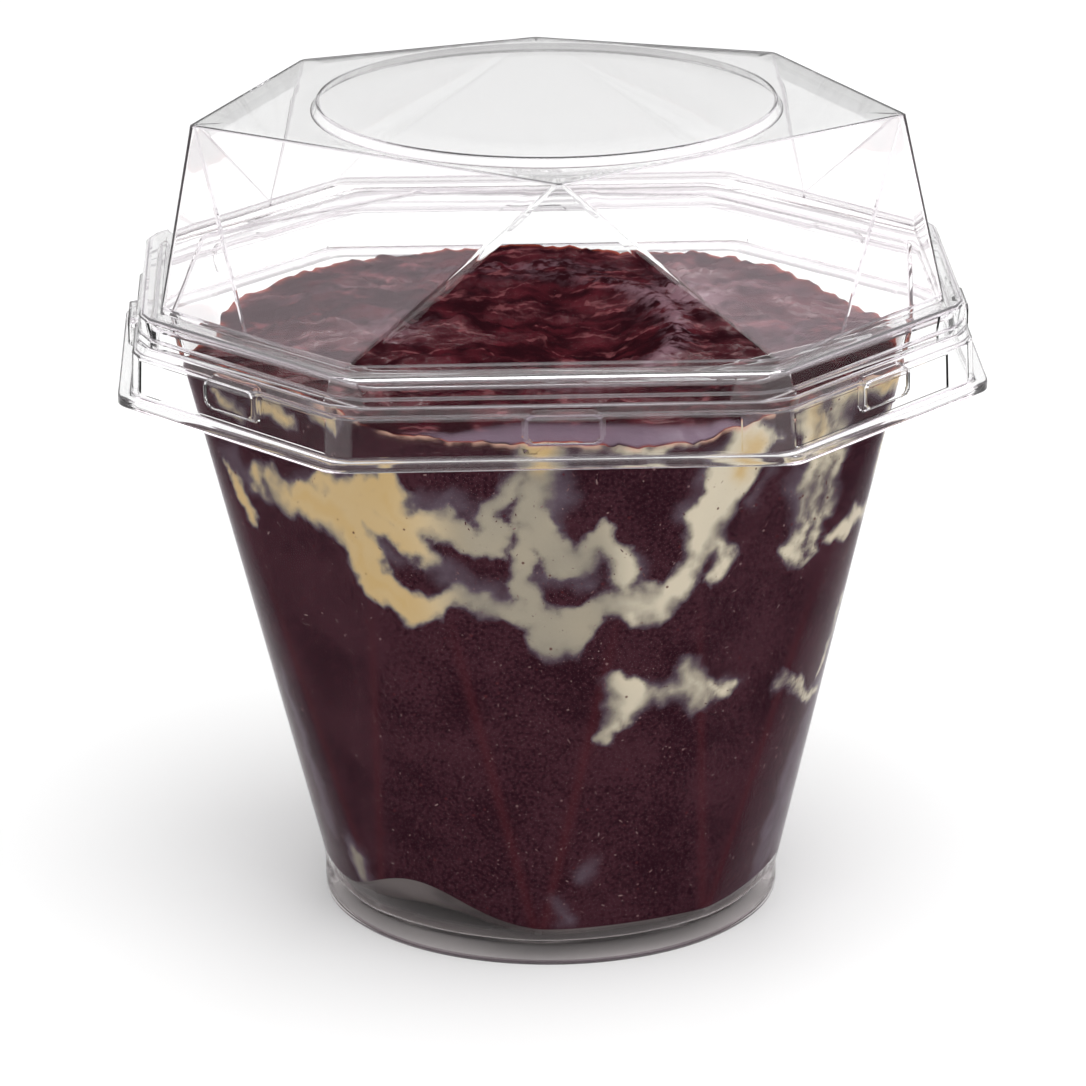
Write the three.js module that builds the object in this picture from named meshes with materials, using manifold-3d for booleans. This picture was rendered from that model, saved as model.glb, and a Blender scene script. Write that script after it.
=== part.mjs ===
// Clear faceted dessert cup with a snapped-on faceted lid, filled with acai and streaks of cream.
// Millimetres, +Z up, the front towards -Y, origin on the table under the middle of the base.
import * as THREE from 'three';
import { mergeVertices } from 'three/addons/utils/BufferGeometryUtils.js';
import Module from 'manifold-3d';

// Eight-sided outlines of the lid's ledge and of the cup's rim and wall: half length and distance of the front side,
// then distance and half length of the left and right sides
const LEDGE_OUTLINE = { frontHalf: 23.5, frontY: 41.5, sideX: 46, sideHalf: 16.6 };
const RIM_OUTLINE = { frontHalf: 20.5, frontY: 38.2, sideX: 42.6, sideHalf: 15.6 };
const WALL_OUTLINE = { frontHalf: 17.2, frontY: 37.2, sideX: 41.2, sideHalf: 16.6 };

// Degrees that the facets of the cup's wall are turned from those of the lid, seen from above
const WALL_TURN = -5.4;
const SIDES = 8;

// How far each kind of side moves when an outline is moved by one unit
const EVEN = { front: 1, slant: 1, side: 1 };
const FLARE = { front: 0.45, slant: 0.8, side: 1 };

// How far a cutting body runs past what it cuts, and within what distance corners are one
const PAST = 1;
const WELD = 1e-4;

// Cup
const BASE_RADIUS = 26.5;
const BASE_BAND_HEIGHT = 3.2;
const BASE_EDGE = 0.5;
const FOOT_WIDTH = 1.6;
const FLOOR_UNDERSIDE = 1.9;
const FLOOR_TOP = 2.7;
const FACET_START = 4.2;
const FACET_START_RADIUS = 26.8;
const FACET_HOLLOW = 0.8;
const CUP_RIM_HEIGHT = 74;
const CUP_WALL_TOP = 72.6;
const CUP_WALL = 0.7;
const CUP_FLANGE_REACH = 2.1;
const CUP_FLANGE_DROP = 3.4;
const FACET_STEPS = 5;
const FACET_MARGIN = 0.8;

// Lid
const LID_WALL = 0.6;
const LEDGE_HEIGHT = 74.9;
const DOME_FOOT_HEIGHT = 75.5;
const DOME_FOOT_INSET = 2.5;
const DOME_TOP_HEIGHT = 93.8;
const DISC_RADIUS = 26;
const DISC_FOOT_RADIUS = 26.5;
const DISC_RISE = 1.1;
const DISC_SIDES = 56;
const BRIM_HEIGHT = 65.8;
const BRIM_DROP = 1.1;
const BRIM_REACH = 2.6;
const SKIRT_STEP_HEIGHT = 70.7;
const SKIRT_BEAD_HEIGHT = 72.6;
const CORNER_RADIUS = 3.2;
const CORNER_STEPS = 3;
const SKIRT_OFFSET = { brimTop: 1.05, step: 0.88, aboveStep: 0.45, bead: 0.35, aboveBead: 0.12, ledge: -0.35 };
const SKIRT_EDGE = 0.35;
const BRIM_EDGE = 0.18;
const DOME_SUNK = 0.2;
const HIP_SHARE = { frontLeft: 0.54, frontRight: 0.38, back: 0.42 };
const RULED_STEPS = 3;
const LUG = { width: 8.5, height: 3.6, centre: 69.2, seat: 0.9, proud: 0.8, depth: 2.4, corner: 1.2, cornerSteps: 2 };

// Top of the lid, six corners of a slightly uneven hexagon
const TOP_FRONT_Y = 33;
const TOP_BACK_Y = 33;
const TOP_SIDE = { x: 40, y: -5.5 };
const TOP_REAR = { x: 27.6, y: 23.8 };

// Contents
const CONTENTS_GAP = 0.3;
const LEVEL = 68.4;
const FRONT_DIP = 1.6;
const FRONT_DIP_WIDTH = 24;
const LEVEL_WAVES = [{ height: 0.35, turns: 3, phase: 1 }, { height: 0.25, turns: 5, phase: 0 }];
const TOP_RINGS = 11;
const TOP_SPOKES = 48;
const TOP_OVERHANG = 1.1;
const RELIEF_FADES_FROM = 0.7;
const SWIRL = { x: 0, y: 13, halfWidth: 15, halfDepth: 24, ridge: 2.6, ridgeWidth: 0.17 };
const HOLLOW = { depth: 2.4, leftShare: 0.3, flatTo: 0.45 };
const NUB = { x: -9.5, y: 4.8, height: 1.5, radius: 2 };
const RIPPLE = { height: 0.35, length: 7, sway: 1.4, swayLength: 9 };
const AIR_POCKET = { angle: -38, width: 19, height: 4.4 };
const FOOT_ROUND = { wallStart: 0.2, soleShare: 0.9, soleRise: 0.6, heelShare: 0.72 };
const CREAM_DEPTH = 2.2;
const CREAM_PROUD = 1;
const CREAM_ROUND_STEPS = 3;

// Streaks of cream on the wall, each a run of [angle from the front, height, half width] in degrees and millimetres
const CREAM_STREAKS = {
  cream_band: [
    [[-60, 57, 1], [-51, 55, 2.2], [-40, 54, 2.8], [-37, 49, 2.2], [-30, 46, 2], [-22, 46, 0.9], [-13, 46, 0.9],
      [-6, 44, 1.6], [-2, 43, 2.1], [7, 46, 1.3], [13, 45, 1.1], [18, 46, 1.5], [22, 50, 1], [25, 56, 1.5],
      [27, 62, 2.3], [30, 69, 1.9]],
    [[-38, 55, 1.6], [-28, 57, 1.4], [-22, 55, 1], [-15, 54, 1], [-7, 55, 1.6], [-3, 53, 2.1], [4, 54, 1.3],
      [10, 51, 1.2], [11, 46, 1.2]],
    [[-7, 55, 1.5], [-8, 61, 1.7], [-5, 68, 2.4]],
  ],
  cream_right: [[[46, 69, 1.7], [47, 60, 1.1], [47, 54, 0.9], [45, 50, 1]]],
  cream_side_right: [[[66, 57, 0.8], [62, 51, 1], [57, 48, 0.7]]],
  cream_low: [[[11, 31, 0.8], [14, 34, 1], [19, 36, 0.9], [24, 35, 0.9], [28, 33, 1.3], [29, 37, 0.7]]],
  cream_back: [
    [[108, 61, 1.1], [120, 57, 1.8], [133, 51, 2.1], [148, 47, 1.5], [162, 49, 1.7], [176, 46, 2], [190, 44, 1.3],
      [205, 48, 1.6], [219, 54, 1.7], [232, 60, 1.2]],
    [[162, 49, 1.5], [159, 57, 1.7], [155, 69, 2.3]],
  ],
  cream_back_low: [[[203, 32, 0.9], [212, 35, 1.2], [222, 33, 0.9], [228, 36, 0.7]]],
};

const wasm = await Module();
wasm.setup();

const radians = (degrees) => THREE.MathUtils.degToRad(degrees);

// Corners of an eight-sided outline moved outwards by a reach, counterclockwise from the front right
function outlineCorners({ frontHalf, frontY, sideX, sideHalf }, reach, flare = FLARE) {
  const quarter = [[frontHalf, -frontY], [sideX, -sideHalf], [sideX, sideHalf], [frontHalf, frontY]];
  const corners = [...quarter, ...quarter.map(([x, y]) => [-x, y]).reverse()];
  const factors = [flare.slant, flare.side, flare.slant, flare.front];
  const edges = corners.map(([x, y], i) => {
    const [nextX, nextY] = corners[(i + 1) % SIDES];
    const length = Math.hypot(nextX - x, nextY - y);
    const normal = [(nextY - y) / length, -(nextX - x) / length];
    const offset = normal[0] * x + normal[1] * y + reach * factors[i % factors.length];
    return { normal, offset };
  });
  return corners.map((corner, i) => {
    const before = edges[(i + SIDES - 1) % SIDES];
    const after = edges[i];
    const cross = before.normal[0] * after.normal[1] - before.normal[1] * after.normal[0];
    return new THREE.Vector2(
      (before.offset * after.normal[1] - after.offset * before.normal[1]) / cross,
      (before.normal[0] * after.offset - after.normal[0] * before.offset) / cross,
    );
  });
}

// The same outline with rounded corners, steps + 1 points to a corner
function roundedOutline(corners, radius, steps) {
  return corners.flatMap((corner, i) => {
    const toBefore = corners[(i + SIDES - 1) % SIDES].clone().sub(corner).normalize();
    const toAfter = corners[(i + 1) % SIDES].clone().sub(corner).normalize();
    const halfAngle = Math.acos(toBefore.dot(toAfter)) / 2;
    const turn = Math.PI / 2 - halfAngle;
    const inward = toBefore.clone().add(toAfter).normalize();
    const centre = corner.clone().addScaledVector(inward, radius / Math.sin(halfAngle));
    const middle = Math.atan2(-inward.y, -inward.x);
    return Array.from({ length: steps + 1 }, (_, k) => {
      const angle = middle + turn * (2 * k / steps - 1);
      return new THREE.Vector2(centre.x + radius * Math.cos(angle), centre.y + radius * Math.sin(angle));
    });
  });
}

const raise = (outline, z) => outline.map(({ x, y }) => new THREE.Vector3(x, y, z));

// Closed body through rings of equal length, from a first ring or point up to a last one
function stack(rings) {
  const positions = [];
  const index = [];
  const count = rings.find((ring) => ring.length > 1).length;
  const starts = rings.map((ring) => {
    const start = positions.length / 3;
    ring.forEach((point) => positions.push(point.x, point.y, point.z));
    return start;
  });
  rings.slice(1).forEach((upper, r) => {
    const lower = rings[r];
    for (let i = 0; i < count; i += 1) {
      const j = (i + 1) % count;
      const [a, b, c, d] = [starts[r] + i, starts[r] + j, starts[r + 1] + i, starts[r + 1] + j];
      if (lower.length === 1) index.push(starts[r], d, c);
      else if (upper.length === 1) index.push(a, b, starts[r + 1]);
      else index.push(a, b, d, a, d, c);
    }
  });
  const geometry = new THREE.BufferGeometry();
  geometry.setAttribute('position', new THREE.Float32BufferAttribute(positions, 3));
  geometry.setIndex(index);
  return geometry;
}

const middleOf = (ring) => [ring.reduce((sum, p) => sum.add(p), new THREE.Vector3()).divideScalar(ring.length)];
const capped = (rings) => stack([middleOf(rings[0]), ...rings, middleOf(rings[rings.length - 1])]);

// Exchange between a closed geometry and a solid that can be cut and joined
function solidOf(geometry) {
  const bare = geometry.clone();
  bare.deleteAttribute('normal');
  bare.deleteAttribute('uv');
  const merged = mergeVertices(bare, WELD);
  return new wasm.Manifold(new wasm.Mesh({
    numProp: 3,
    vertProperties: new Float32Array(merged.attributes.position.array),
    triVerts: new Uint32Array(merged.index.array),
  }));
}

function geometryOf(solid) {
  const mesh = solid.getMesh();
  const geometry = new THREE.BufferGeometry();
  geometry.setAttribute('position', new THREE.BufferAttribute(mesh.vertProperties, 3));
  geometry.setIndex(new THREE.BufferAttribute(mesh.triVerts, 1));
  return geometry;
}

// A cut can leave a loose scrap at an edge: the largest piece is the one that counts
function largestOf(solid) {
  const pieces = solid.decompose().sort((a, b) => b.volume() - a.volume());
  return pieces[0];
}

const joined = (geometries) => geometries.map(solidOf).reduce((sum, solid) => sum.add(solid));

// Round ring whose points fall under the outline's rounded corners; hollow draws it in between the sides' middles
function baseRing(radius, z, hollow = 0) {
  const sideAngle = 360 / SIDES;
  return Array.from({ length: SIDES * (FACET_STEPS + 1) }, (_, n) => {
    const side = Math.floor(n / (FACET_STEPS + 1));
    const share = (n % (FACET_STEPS + 1)) / FACET_STEPS;
    const within = FACET_MARGIN + share * (sideAngle - 2 * FACET_MARGIN);
    const angle = radians(WALL_TURN - 90 + side * sideAngle + within);
    const r = radius - hollow * Math.sin(Math.PI * share);
    return new THREE.Vector3(r * Math.cos(angle), r * Math.sin(angle), z);
  });
}

// Faceted wall of the cup, moved inwards by an inset: its ring at any height, with an optional height for each point
function wallRing(inset, heights) {
  const foot = baseRing(FACET_START_RADIUS - inset, FACET_START, FACET_HOLLOW);
  const axis = new THREE.Vector2();
  const corners = outlineCorners(WALL_OUTLINE, -inset, EVEN).map((p) => p.rotateAround(axis, radians(WALL_TURN)));
  const top = raise(roundedOutline(corners, CORNER_RADIUS, FACET_STEPS), CUP_WALL_TOP);
  return foot.map((point, i) => {
    const z = typeof heights === 'function' ? heights(point, i) : heights;
    return point.clone().lerp(top[i], (z - FACET_START) / (CUP_WALL_TOP - FACET_START));
  });
}

function cup() {
  const rim = (reach, z) => (
    raise(roundedOutline(outlineCorners(RIM_OUTLINE, reach, EVEN), CORNER_RADIUS, FACET_STEPS), z)
  );
  const body = capped([
    baseRing(BASE_RADIUS - BASE_EDGE, 0),
    baseRing(BASE_RADIUS, BASE_EDGE),
    baseRing(BASE_RADIUS, BASE_BAND_HEIGHT),
    wallRing(0, FACET_START),
    wallRing(0, CUP_RIM_HEIGHT),
  ]);
  const flangeLow = CUP_RIM_HEIGHT - CUP_FLANGE_DROP;
  const flange = capped([
    rim(CUP_FLANGE_REACH - 2 * BASE_EDGE, flangeLow),
    rim(CUP_FLANGE_REACH, flangeLow + BASE_EDGE),
    rim(CUP_FLANGE_REACH, CUP_RIM_HEIGHT - BASE_EDGE),
    rim(CUP_FLANGE_REACH - BASE_EDGE, CUP_RIM_HEIGHT),
  ]);
  const hollow = capped([
    baseRing(BASE_RADIUS - CUP_WALL - BASE_EDGE, FLOOR_TOP),
    baseRing(BASE_RADIUS - CUP_WALL, BASE_BAND_HEIGHT),
    wallRing(CUP_WALL, FACET_START),
    wallRing(CUP_WALL, CUP_RIM_HEIGHT + PAST),
  ]);
  const underRim = capped([
    rim(CUP_FLANGE_REACH - CUP_WALL, flangeLow - PAST),
    rim(CUP_FLANGE_REACH - CUP_WALL, CUP_RIM_HEIGHT - CUP_WALL),
  ]);
  const recess = capped([
    baseRing(BASE_RADIUS - FOOT_WIDTH, -PAST),
    baseRing(BASE_RADIUS - FOOT_WIDTH - BASE_EDGE, FLOOR_UNDERSIDE),
  ]);
  const wallUnderRim = capped([wallRing(0, flangeLow - 2 * PAST), wallRing(0, CUP_RIM_HEIGHT)]);
  const roll = solidOf(flange).subtract(solidOf(underRim).subtract(solidOf(wallUnderRim)));
  return geometryOf(solidOf(body).add(roll).subtract(solidOf(hollow)).subtract(solidOf(recess)));
}

// Dome: a faceted body between the foot outline with its four hip points and the six-sided top
function dome(inset, topHeight) {
  const foot = outlineCorners(LEDGE_OUTLINE, -DOME_FOOT_INSET - inset, EVEN);
  const [frontRight, rightNear, rightFar, backRight, backLeft, leftFar, leftNear, frontLeft] = foot;
  const shrink = 1 - inset / TOP_FRONT_Y;
  const top = [
    [0, -TOP_FRONT_Y], [TOP_SIDE.x, TOP_SIDE.y], [TOP_REAR.x, TOP_REAR.y],
    [0, TOP_BACK_Y], [-TOP_REAR.x, TOP_REAR.y], [-TOP_SIDE.x, TOP_SIDE.y],
  ].map(([x, y]) => new THREE.Vector3(x * shrink, y * shrink, topHeight));
  const [front, right, rearRight, back, rearLeft, left] = top;
  const at = (corner) => new THREE.Vector3(corner.x, corner.y, DOME_FOOT_HEIGHT);
  const hip = (from, to, share) => at(from.clone().lerp(to, share));
  const hips = {
    frontRight: hip(frontRight, rightNear, HIP_SHARE.frontRight),
    backRight: hip(backRight, rightFar, HIP_SHARE.back),
    backLeft: hip(backLeft, leftFar, HIP_SHARE.back),
    frontLeft: hip(frontLeft, leftNear, HIP_SHARE.frontLeft),
  };
  // Each facet runs from a stretch of the foot to a stretch of the top, counterclockwise from the front
  const facets = [
    [at(frontLeft), at(frontRight), front, front],
    [at(frontRight), hips.frontRight, front, right],
    [hips.frontRight, at(rightNear), right, right],
    [at(rightNear), at(rightFar), right, right],
    [at(rightFar), hips.backRight, right, right],
    [hips.backRight, hips.backRight, right, rearRight],
    [hips.backRight, at(backRight), rearRight, back],
    [at(backRight), at(backLeft), back, back],
    [at(backLeft), hips.backLeft, back, rearLeft],
    [hips.backLeft, hips.backLeft, rearLeft, left],
    [hips.backLeft, at(leftFar), left, left],
    [at(leftFar), at(leftNear), left, left],
    [at(leftNear), hips.frontLeft, left, left],
    [hips.frontLeft, at(frontLeft), left, front],
  ];
  const lower = [];
  const upper = [];
  facets.forEach(([footA, footB, topA, topB]) => {
    for (let k = 0; k < RULED_STEPS; k += 1) {
      lower.push(footA.clone().lerp(footB, k / RULED_STEPS));
      upper.push(topA.clone().lerp(topB, k / RULED_STEPS));
    }
  });
  const sunk = lower.map((point) => point.clone().setZ(LEDGE_HEIGHT - LID_WALL - DOME_SUNK));
  return capped([sunk, lower, upper]);
}

// Body of the lid below the dome, its wall drawn in by an inset, down to the brim's foot
const skirtRing = (reach, z) => (
  raise(roundedOutline(outlineCorners(LEDGE_OUTLINE, reach), CORNER_RADIUS, CORNER_STEPS), z)
);

const skirtWall = (inset) => [
  skirtRing(SKIRT_OFFSET.brimTop - inset, BRIM_HEIGHT),
  skirtRing(SKIRT_OFFSET.step - inset, SKIRT_STEP_HEIGHT - SKIRT_EDGE),
  skirtRing(SKIRT_OFFSET.aboveStep - inset, SKIRT_STEP_HEIGHT),
  skirtRing(SKIRT_OFFSET.bead - inset, SKIRT_BEAD_HEIGHT - SKIRT_EDGE),
  skirtRing(SKIRT_OFFSET.aboveBead - inset, SKIRT_BEAD_HEIGHT),
  skirtRing(-inset, LEDGE_HEIGHT - inset - SKIRT_EDGE),
  skirtRing(SKIRT_OFFSET.ledge - inset, LEDGE_HEIGHT - inset),
];

const skirtOutside = () => capped([
  skirtRing(BRIM_REACH - BRIM_EDGE, BRIM_HEIGHT - BRIM_DROP),
  skirtRing(BRIM_REACH, BRIM_HEIGHT - BRIM_DROP + BRIM_EDGE),
  skirtRing(BRIM_REACH, BRIM_HEIGHT - BRIM_EDGE),
  skirtRing(BRIM_REACH - BRIM_EDGE, BRIM_HEIGHT),
  ...skirtWall(0),
]);

const skirtInside = () => capped([
  skirtRing(SKIRT_OFFSET.brimTop - LID_WALL, BRIM_HEIGHT - BRIM_DROP - PAST),
  ...skirtWall(LID_WALL),
]);

function raisedDisc(inset, height) {
  const wide = DISC_FOOT_RADIUS - inset;
  const narrow = DISC_RADIUS - inset;
  const low = DOME_TOP_HEIGHT - 2 * LID_WALL;
  const profile = [[0, low], [wide, low], [wide, height - DISC_RISE], [narrow, height], [0, height]];
  const geometry = new THREE.LatheGeometry(profile.map(([x, y]) => new THREE.Vector2(x, y)), DISC_SIDES);
  return geometry.rotateX(Math.PI / 2);
}

// Rounded block for a clip lug, with its width along X, its depth along Y and its height along Z
function lugBlock(shrink, depth) {
  const halfWidth = LUG.width / 2 - shrink;
  const halfHeight = LUG.height / 2 - shrink;
  const corner = LUG.corner - shrink / 2;
  const shape = new THREE.Shape();
  shape.absarc(halfWidth - corner, halfHeight - corner, corner, 0, Math.PI / 2);
  shape.absarc(corner - halfWidth, halfHeight - corner, corner, Math.PI / 2, Math.PI);
  shape.absarc(corner - halfWidth, corner - halfHeight, corner, Math.PI, 1.5 * Math.PI);
  shape.absarc(halfWidth - corner, corner - halfHeight, corner, 1.5 * Math.PI, 2 * Math.PI);
  const geometry = new THREE.ExtrudeGeometry(shape, { depth, bevelEnabled: false, curveSegments: LUG.cornerSteps });
  return geometry.rotateX(Math.PI / 2);
}

// The block moved to the middle of one side of the skirt, reaching a little out of the wall
function lug(side, shrink, proud) {
  const corners = outlineCorners(LEDGE_OUTLINE, LUG.seat);
  const from = corners[(side + SIDES - 1) % SIDES];
  const to = corners[side];
  const middle = from.clone().add(to).divideScalar(2);
  const angle = Math.atan2(to.y - from.y, to.x - from.x);
  const outward = new THREE.Vector2(Math.sin(angle), -Math.cos(angle));
  const inner = middle.addScaledVector(outward, proud - LUG.depth);
  const geometry = lugBlock(shrink, LUG.depth);
  return geometry.rotateZ(angle).translate(inner.x, inner.y, LUG.centre);
}

function lid() {
  const sides = Array.from({ length: SIDES }, (_, side) => side);
  const outer = joined([
    dome(0, DOME_TOP_HEIGHT),
    skirtOutside(),
    raisedDisc(0, DOME_TOP_HEIGHT + DISC_RISE),
    ...sides.map((side) => lug(side, 0, LUG.proud)),
  ]);
  const inner = joined([
    dome(LID_WALL, DOME_TOP_HEIGHT - LID_WALL),
    skirtInside(),
    raisedDisc(LID_WALL, DOME_TOP_HEIGHT + DISC_RISE - LID_WALL),
    ...sides.map((side) => lug(side, LID_WALL, LUG.proud - LID_WALL)),
  ]);
  return geometryOf(outer.subtract(inner));
}

// Height of the contents against the wall, lowest at the middle of the front
function wallLevel(angle) {
  const fromFront = THREE.MathUtils.radToDeg(angle) / FRONT_DIP_WIDTH;
  const dip = FRONT_DIP * Math.exp(-fromFront * fromFront);
  return LEVEL_WAVES.reduce((z, { height, turns, phase }) => z + height * Math.sin(turns * angle + phase), LEVEL - dip);
}

// Relief of the scooped top: a curved ridge on the right round a hollow, a small nub and low ripples
function topRelief(x, y) {
  const across = (x - SWIRL.x) / SWIRL.halfWidth;
  const along = (y - SWIRL.y) / SWIRL.halfDepth;
  const reach = Math.hypot(across, along);
  const rightness = (1 + Math.cos(Math.atan2(along, across))) / 2;
  const ridge = SWIRL.ridge * rightness * Math.exp(-(((reach - 1) / SWIRL.ridgeWidth) ** 2));
  const share = THREE.MathUtils.lerp(HOLLOW.leftShare, 1, rightness);
  const hollow = HOLLOW.depth * share * (1 - THREE.MathUtils.smoothstep(reach, HOLLOW.flatTo, 1));
  const fromNub = Math.hypot(x - NUB.x, y - NUB.y) / NUB.radius;
  const nub = NUB.height * Math.exp(-fromNub * fromNub);
  const phase = 2 * Math.PI * y / RIPPLE.length + RIPPLE.sway * Math.sin(x / RIPPLE.swayLength);
  return ridge - hollow + nub + RIPPLE.height * Math.sin(phase);
}

// Point on the inside of the cup wall at an angle from the front and a height, moved inwards by a depth
function wallPoint(angle, z, depth) {
  const ring = wallRing(CUP_WALL + CONTENTS_GAP + depth, z);
  const wanted = new THREE.Vector2(Math.sin(angle), -Math.cos(angle));
  for (let i = 0; i < ring.length; i += 1) {
    const [a, b] = [ring[i], ring[(i + 1) % ring.length]];
    const [sideA, sideB] = [wanted.x * a.y - wanted.y * a.x, wanted.x * b.y - wanted.y * b.x];
    if (sideA <= 0 && sideB > 0 && a.x * wanted.x + a.y * wanted.y > 0) {
      return a.clone().lerp(b, sideA / (sideA - sideB));
    }
  }
  throw new Error('no wall at this angle');
}

// Acai before the cream is cut out of it: the inside of the cup wall, rounded at the foot, under a scooped top
function acaiBody() {
  const inset = CUP_WALL + CONTENTS_GAP;
  const floor = FLOOR_TOP + CONTENTS_GAP;
  const lowest = (point) => {
    const angle = THREE.MathUtils.radToDeg(Math.atan2(point.x, -point.y));
    const away = (angle - AIR_POCKET.angle) / AIR_POCKET.width;
    return FACET_START + FOOT_ROUND.wallStart + AIR_POCKET.height * Math.exp(-away * away);
  };
  const foot = wallRing(inset, lowest);
  const narrowed = (share, rise) => foot.map(({ x, y, z }) => (
    new THREE.Vector3(x * share, y * share, floor + (z - FACET_START) * rise)
  ));
  const sole = narrowed(FOOT_ROUND.soleShare, FOOT_ROUND.soleRise);
  const wall = capped([narrowed(FOOT_ROUND.heelShare, 0), sole, foot, wallRing(inset, CUP_WALL_TOP)]);

  const spokes = Array.from({ length: TOP_SPOKES }, (_, i) => 2 * Math.PI * i / TOP_SPOKES);
  const rims = spokes.map((angle) => wallPoint(angle, LEVEL, 0));
  const ringAt = (share) => rims.map((rim, i) => {
    const [x, y] = [rim.x * share, rim.y * share];
    const level = wallLevel(spokes[i]);
    const blend = 1 - THREE.MathUtils.smoothstep(share, RELIEF_FADES_FROM, 1);
    return new THREE.Vector3(x, y, THREE.MathUtils.lerp(level, LEVEL + topRelief(x, y), blend));
  });
  const shares = Array.from({ length: TOP_RINGS }, (_, k) => 1 - k / TOP_RINGS);
  const edge = ringAt(TOP_OVERHANG);
  const under = edge.map(({ x, y }) => new THREE.Vector3(x, y, -PAST));
  const middle = [new THREE.Vector3(0, 0, LEVEL + topRelief(0, 0))];
  const top = stack([middleOf(under), under, edge, ...shares.map(ringAt), middle]);
  return solidOf(wall).intersect(solidOf(top));
}

// One length of a streak: an outline with round ends on the wall, sunk into the contents
function streakLength([angleA, zA, halfA], [angleB, zB, halfB], grow) {
  const scale = wallPoint(radians(angleA), zA, 0).setZ(0).length();
  const from = new THREE.Vector2(radians(angleA) * scale, zA);
  const to = new THREE.Vector2(radians(angleB) * scale, zB);
  const heading = Math.atan2(to.y - from.y, to.x - from.x);
  const half = (centre, radius, start) => Array.from({ length: CREAM_ROUND_STEPS + 1 }, (_, k) => {
    const angle = heading + start + Math.PI * k / CREAM_ROUND_STEPS;
    return new THREE.Vector2(centre.x + radius * Math.cos(angle), centre.y + radius * Math.sin(angle));
  });
  const outline = [...half(to, halfB + grow, -Math.PI / 2), ...half(from, halfA + grow, Math.PI / 2)];
  const ringAt = (depth) => outline.map(({ x, y }) => wallPoint(x / scale, y, depth));
  return capped([ringAt(CREAM_DEPTH + grow), ringAt(-CREAM_PROUD)]);
}

function streaks(runs, grow) {
  return joined(runs.flatMap((run) => run.slice(1).map((point, i) => streakLength(run[i], point, grow))));
}

const clear = (name) => new THREE.MeshStandardMaterial({
  name, color: 0xe9edef, roughness: 0.05, metalness: 0, transparent: true, opacity: 0.3,
});
const acaiFinish = new THREE.MeshStandardMaterial({ name: 'acai', color: 0x47252c, roughness: 0.35, metalness: 0 });
const creamFinish = new THREE.MeshStandardMaterial({ name: 'cream', color: 0xd2b882, roughness: 0.4, metalness: 0 });

function named(name, geometry, material) {
  const mesh = new THREE.Mesh(geometry, material);
  mesh.name = name;
  return mesh;
}

const object = new THREE.Group();
object.add(named('cup', cup(), clear('cup_plastic')));
object.add(named('lid', lid(), clear('lid_plastic')));

const whole = acaiBody();
let acai = whole;
Object.entries(CREAM_STREAKS).forEach(([name, runs]) => {
  object.add(named(name, geometryOf(largestOf(streaks(runs, 0).intersect(whole))), creamFinish));
  acai = acai.subtract(streaks(runs, CONTENTS_GAP));
});
object.add(named('acai', geometryOf(largestOf(acai)), acaiFinish));

export default object;
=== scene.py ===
"""Dresses the acai cup: a clear faceted cup with its faceted lid, purple acai and streaks of cream.

Sizes are millimetres here and become metres when a mesh is made. +Z is up and the front faces -Y, as in the
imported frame. Angles on the cup's wall are degrees from the front, positive to the right.
"""

import logging
import math
from collections.abc import Sequence
from dataclasses import dataclass, field
from enum import Enum, IntEnum
from itertools import pairwise

import bmesh
import bpy
import numpy as np
from mathutils import Matrix, Vector, noise


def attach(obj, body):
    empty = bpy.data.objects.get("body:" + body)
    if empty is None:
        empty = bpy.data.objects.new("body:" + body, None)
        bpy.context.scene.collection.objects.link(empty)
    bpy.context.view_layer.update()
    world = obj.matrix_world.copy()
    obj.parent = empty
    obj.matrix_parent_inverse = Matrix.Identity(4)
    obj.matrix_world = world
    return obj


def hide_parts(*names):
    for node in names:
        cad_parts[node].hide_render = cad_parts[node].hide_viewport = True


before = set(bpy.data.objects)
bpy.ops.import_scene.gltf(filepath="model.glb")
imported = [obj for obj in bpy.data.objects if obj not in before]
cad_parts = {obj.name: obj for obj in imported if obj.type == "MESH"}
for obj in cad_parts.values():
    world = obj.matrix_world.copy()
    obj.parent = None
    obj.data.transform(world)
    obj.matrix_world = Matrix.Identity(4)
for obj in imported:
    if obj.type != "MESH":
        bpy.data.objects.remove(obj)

LOG = logging.getLogger("acai_cup")
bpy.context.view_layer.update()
BODY = "root"
METRES = 0.001
WELD = 2e-6
SIDES = 8
RING = 2 * SIDES
SIDE_MIDDLE = 1.5
TOP_CORNERS = 6
PLACE_DIGITS = 6
TINY = 1e-9
FULL_TURN = 360.0
MOST_OF_GAP = 0.45
NOISE_MEAN = 0.5
UP = (0.0, 0.0, 1.0)

Span = tuple[float, float]
Triple = tuple[float, float, float]
Colour = Triple
Stroke = tuple[Triple, ...]


class Slot(Enum):
    """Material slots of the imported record."""

    CUP = "cup_plastic"
    LID = "lid_plastic"
    ACAI = "acai"
    CREAM = "cream"


class CupFinish(IntEnum):
    """Finishes of the cup, in the order of its mesh's slots."""

    WALL = 0
    BASE = 1
    RIM = 2
    FOOT_SHADE = 3


class LidFinish(IntEnum):
    """Finishes of the lid, in the order of its mesh's slots."""

    PLAIN = 0
    FAINT = 1
    EDGE = 2


class AcaiFinish(IntEnum):
    """Finishes of the acai, in the order of its mesh's slots."""

    SIDE = 0
    TOP = 1
    SOLE = 2


def smoothstep(value: np.ndarray | float, low: np.ndarray | float, high: float) -> np.ndarray:
    """Share from 0 to 1 of the way from low to high, eased at both ends."""
    share = np.clip((value - low) / (high - low), 0.0, 1.0)
    return share * share * (3.0 - 2.0 * share)


def blend(start: np.ndarray | float, end: np.ndarray | float, share: np.ndarray | float) -> np.ndarray:
    """The value at a share of the way from start to end."""
    return start + (end - start) * share


def swell(away: np.ndarray) -> np.ndarray:
    """1 in the middle of a swell, and next to nothing two widths away from it."""
    return np.exp(-away * away)


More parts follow.
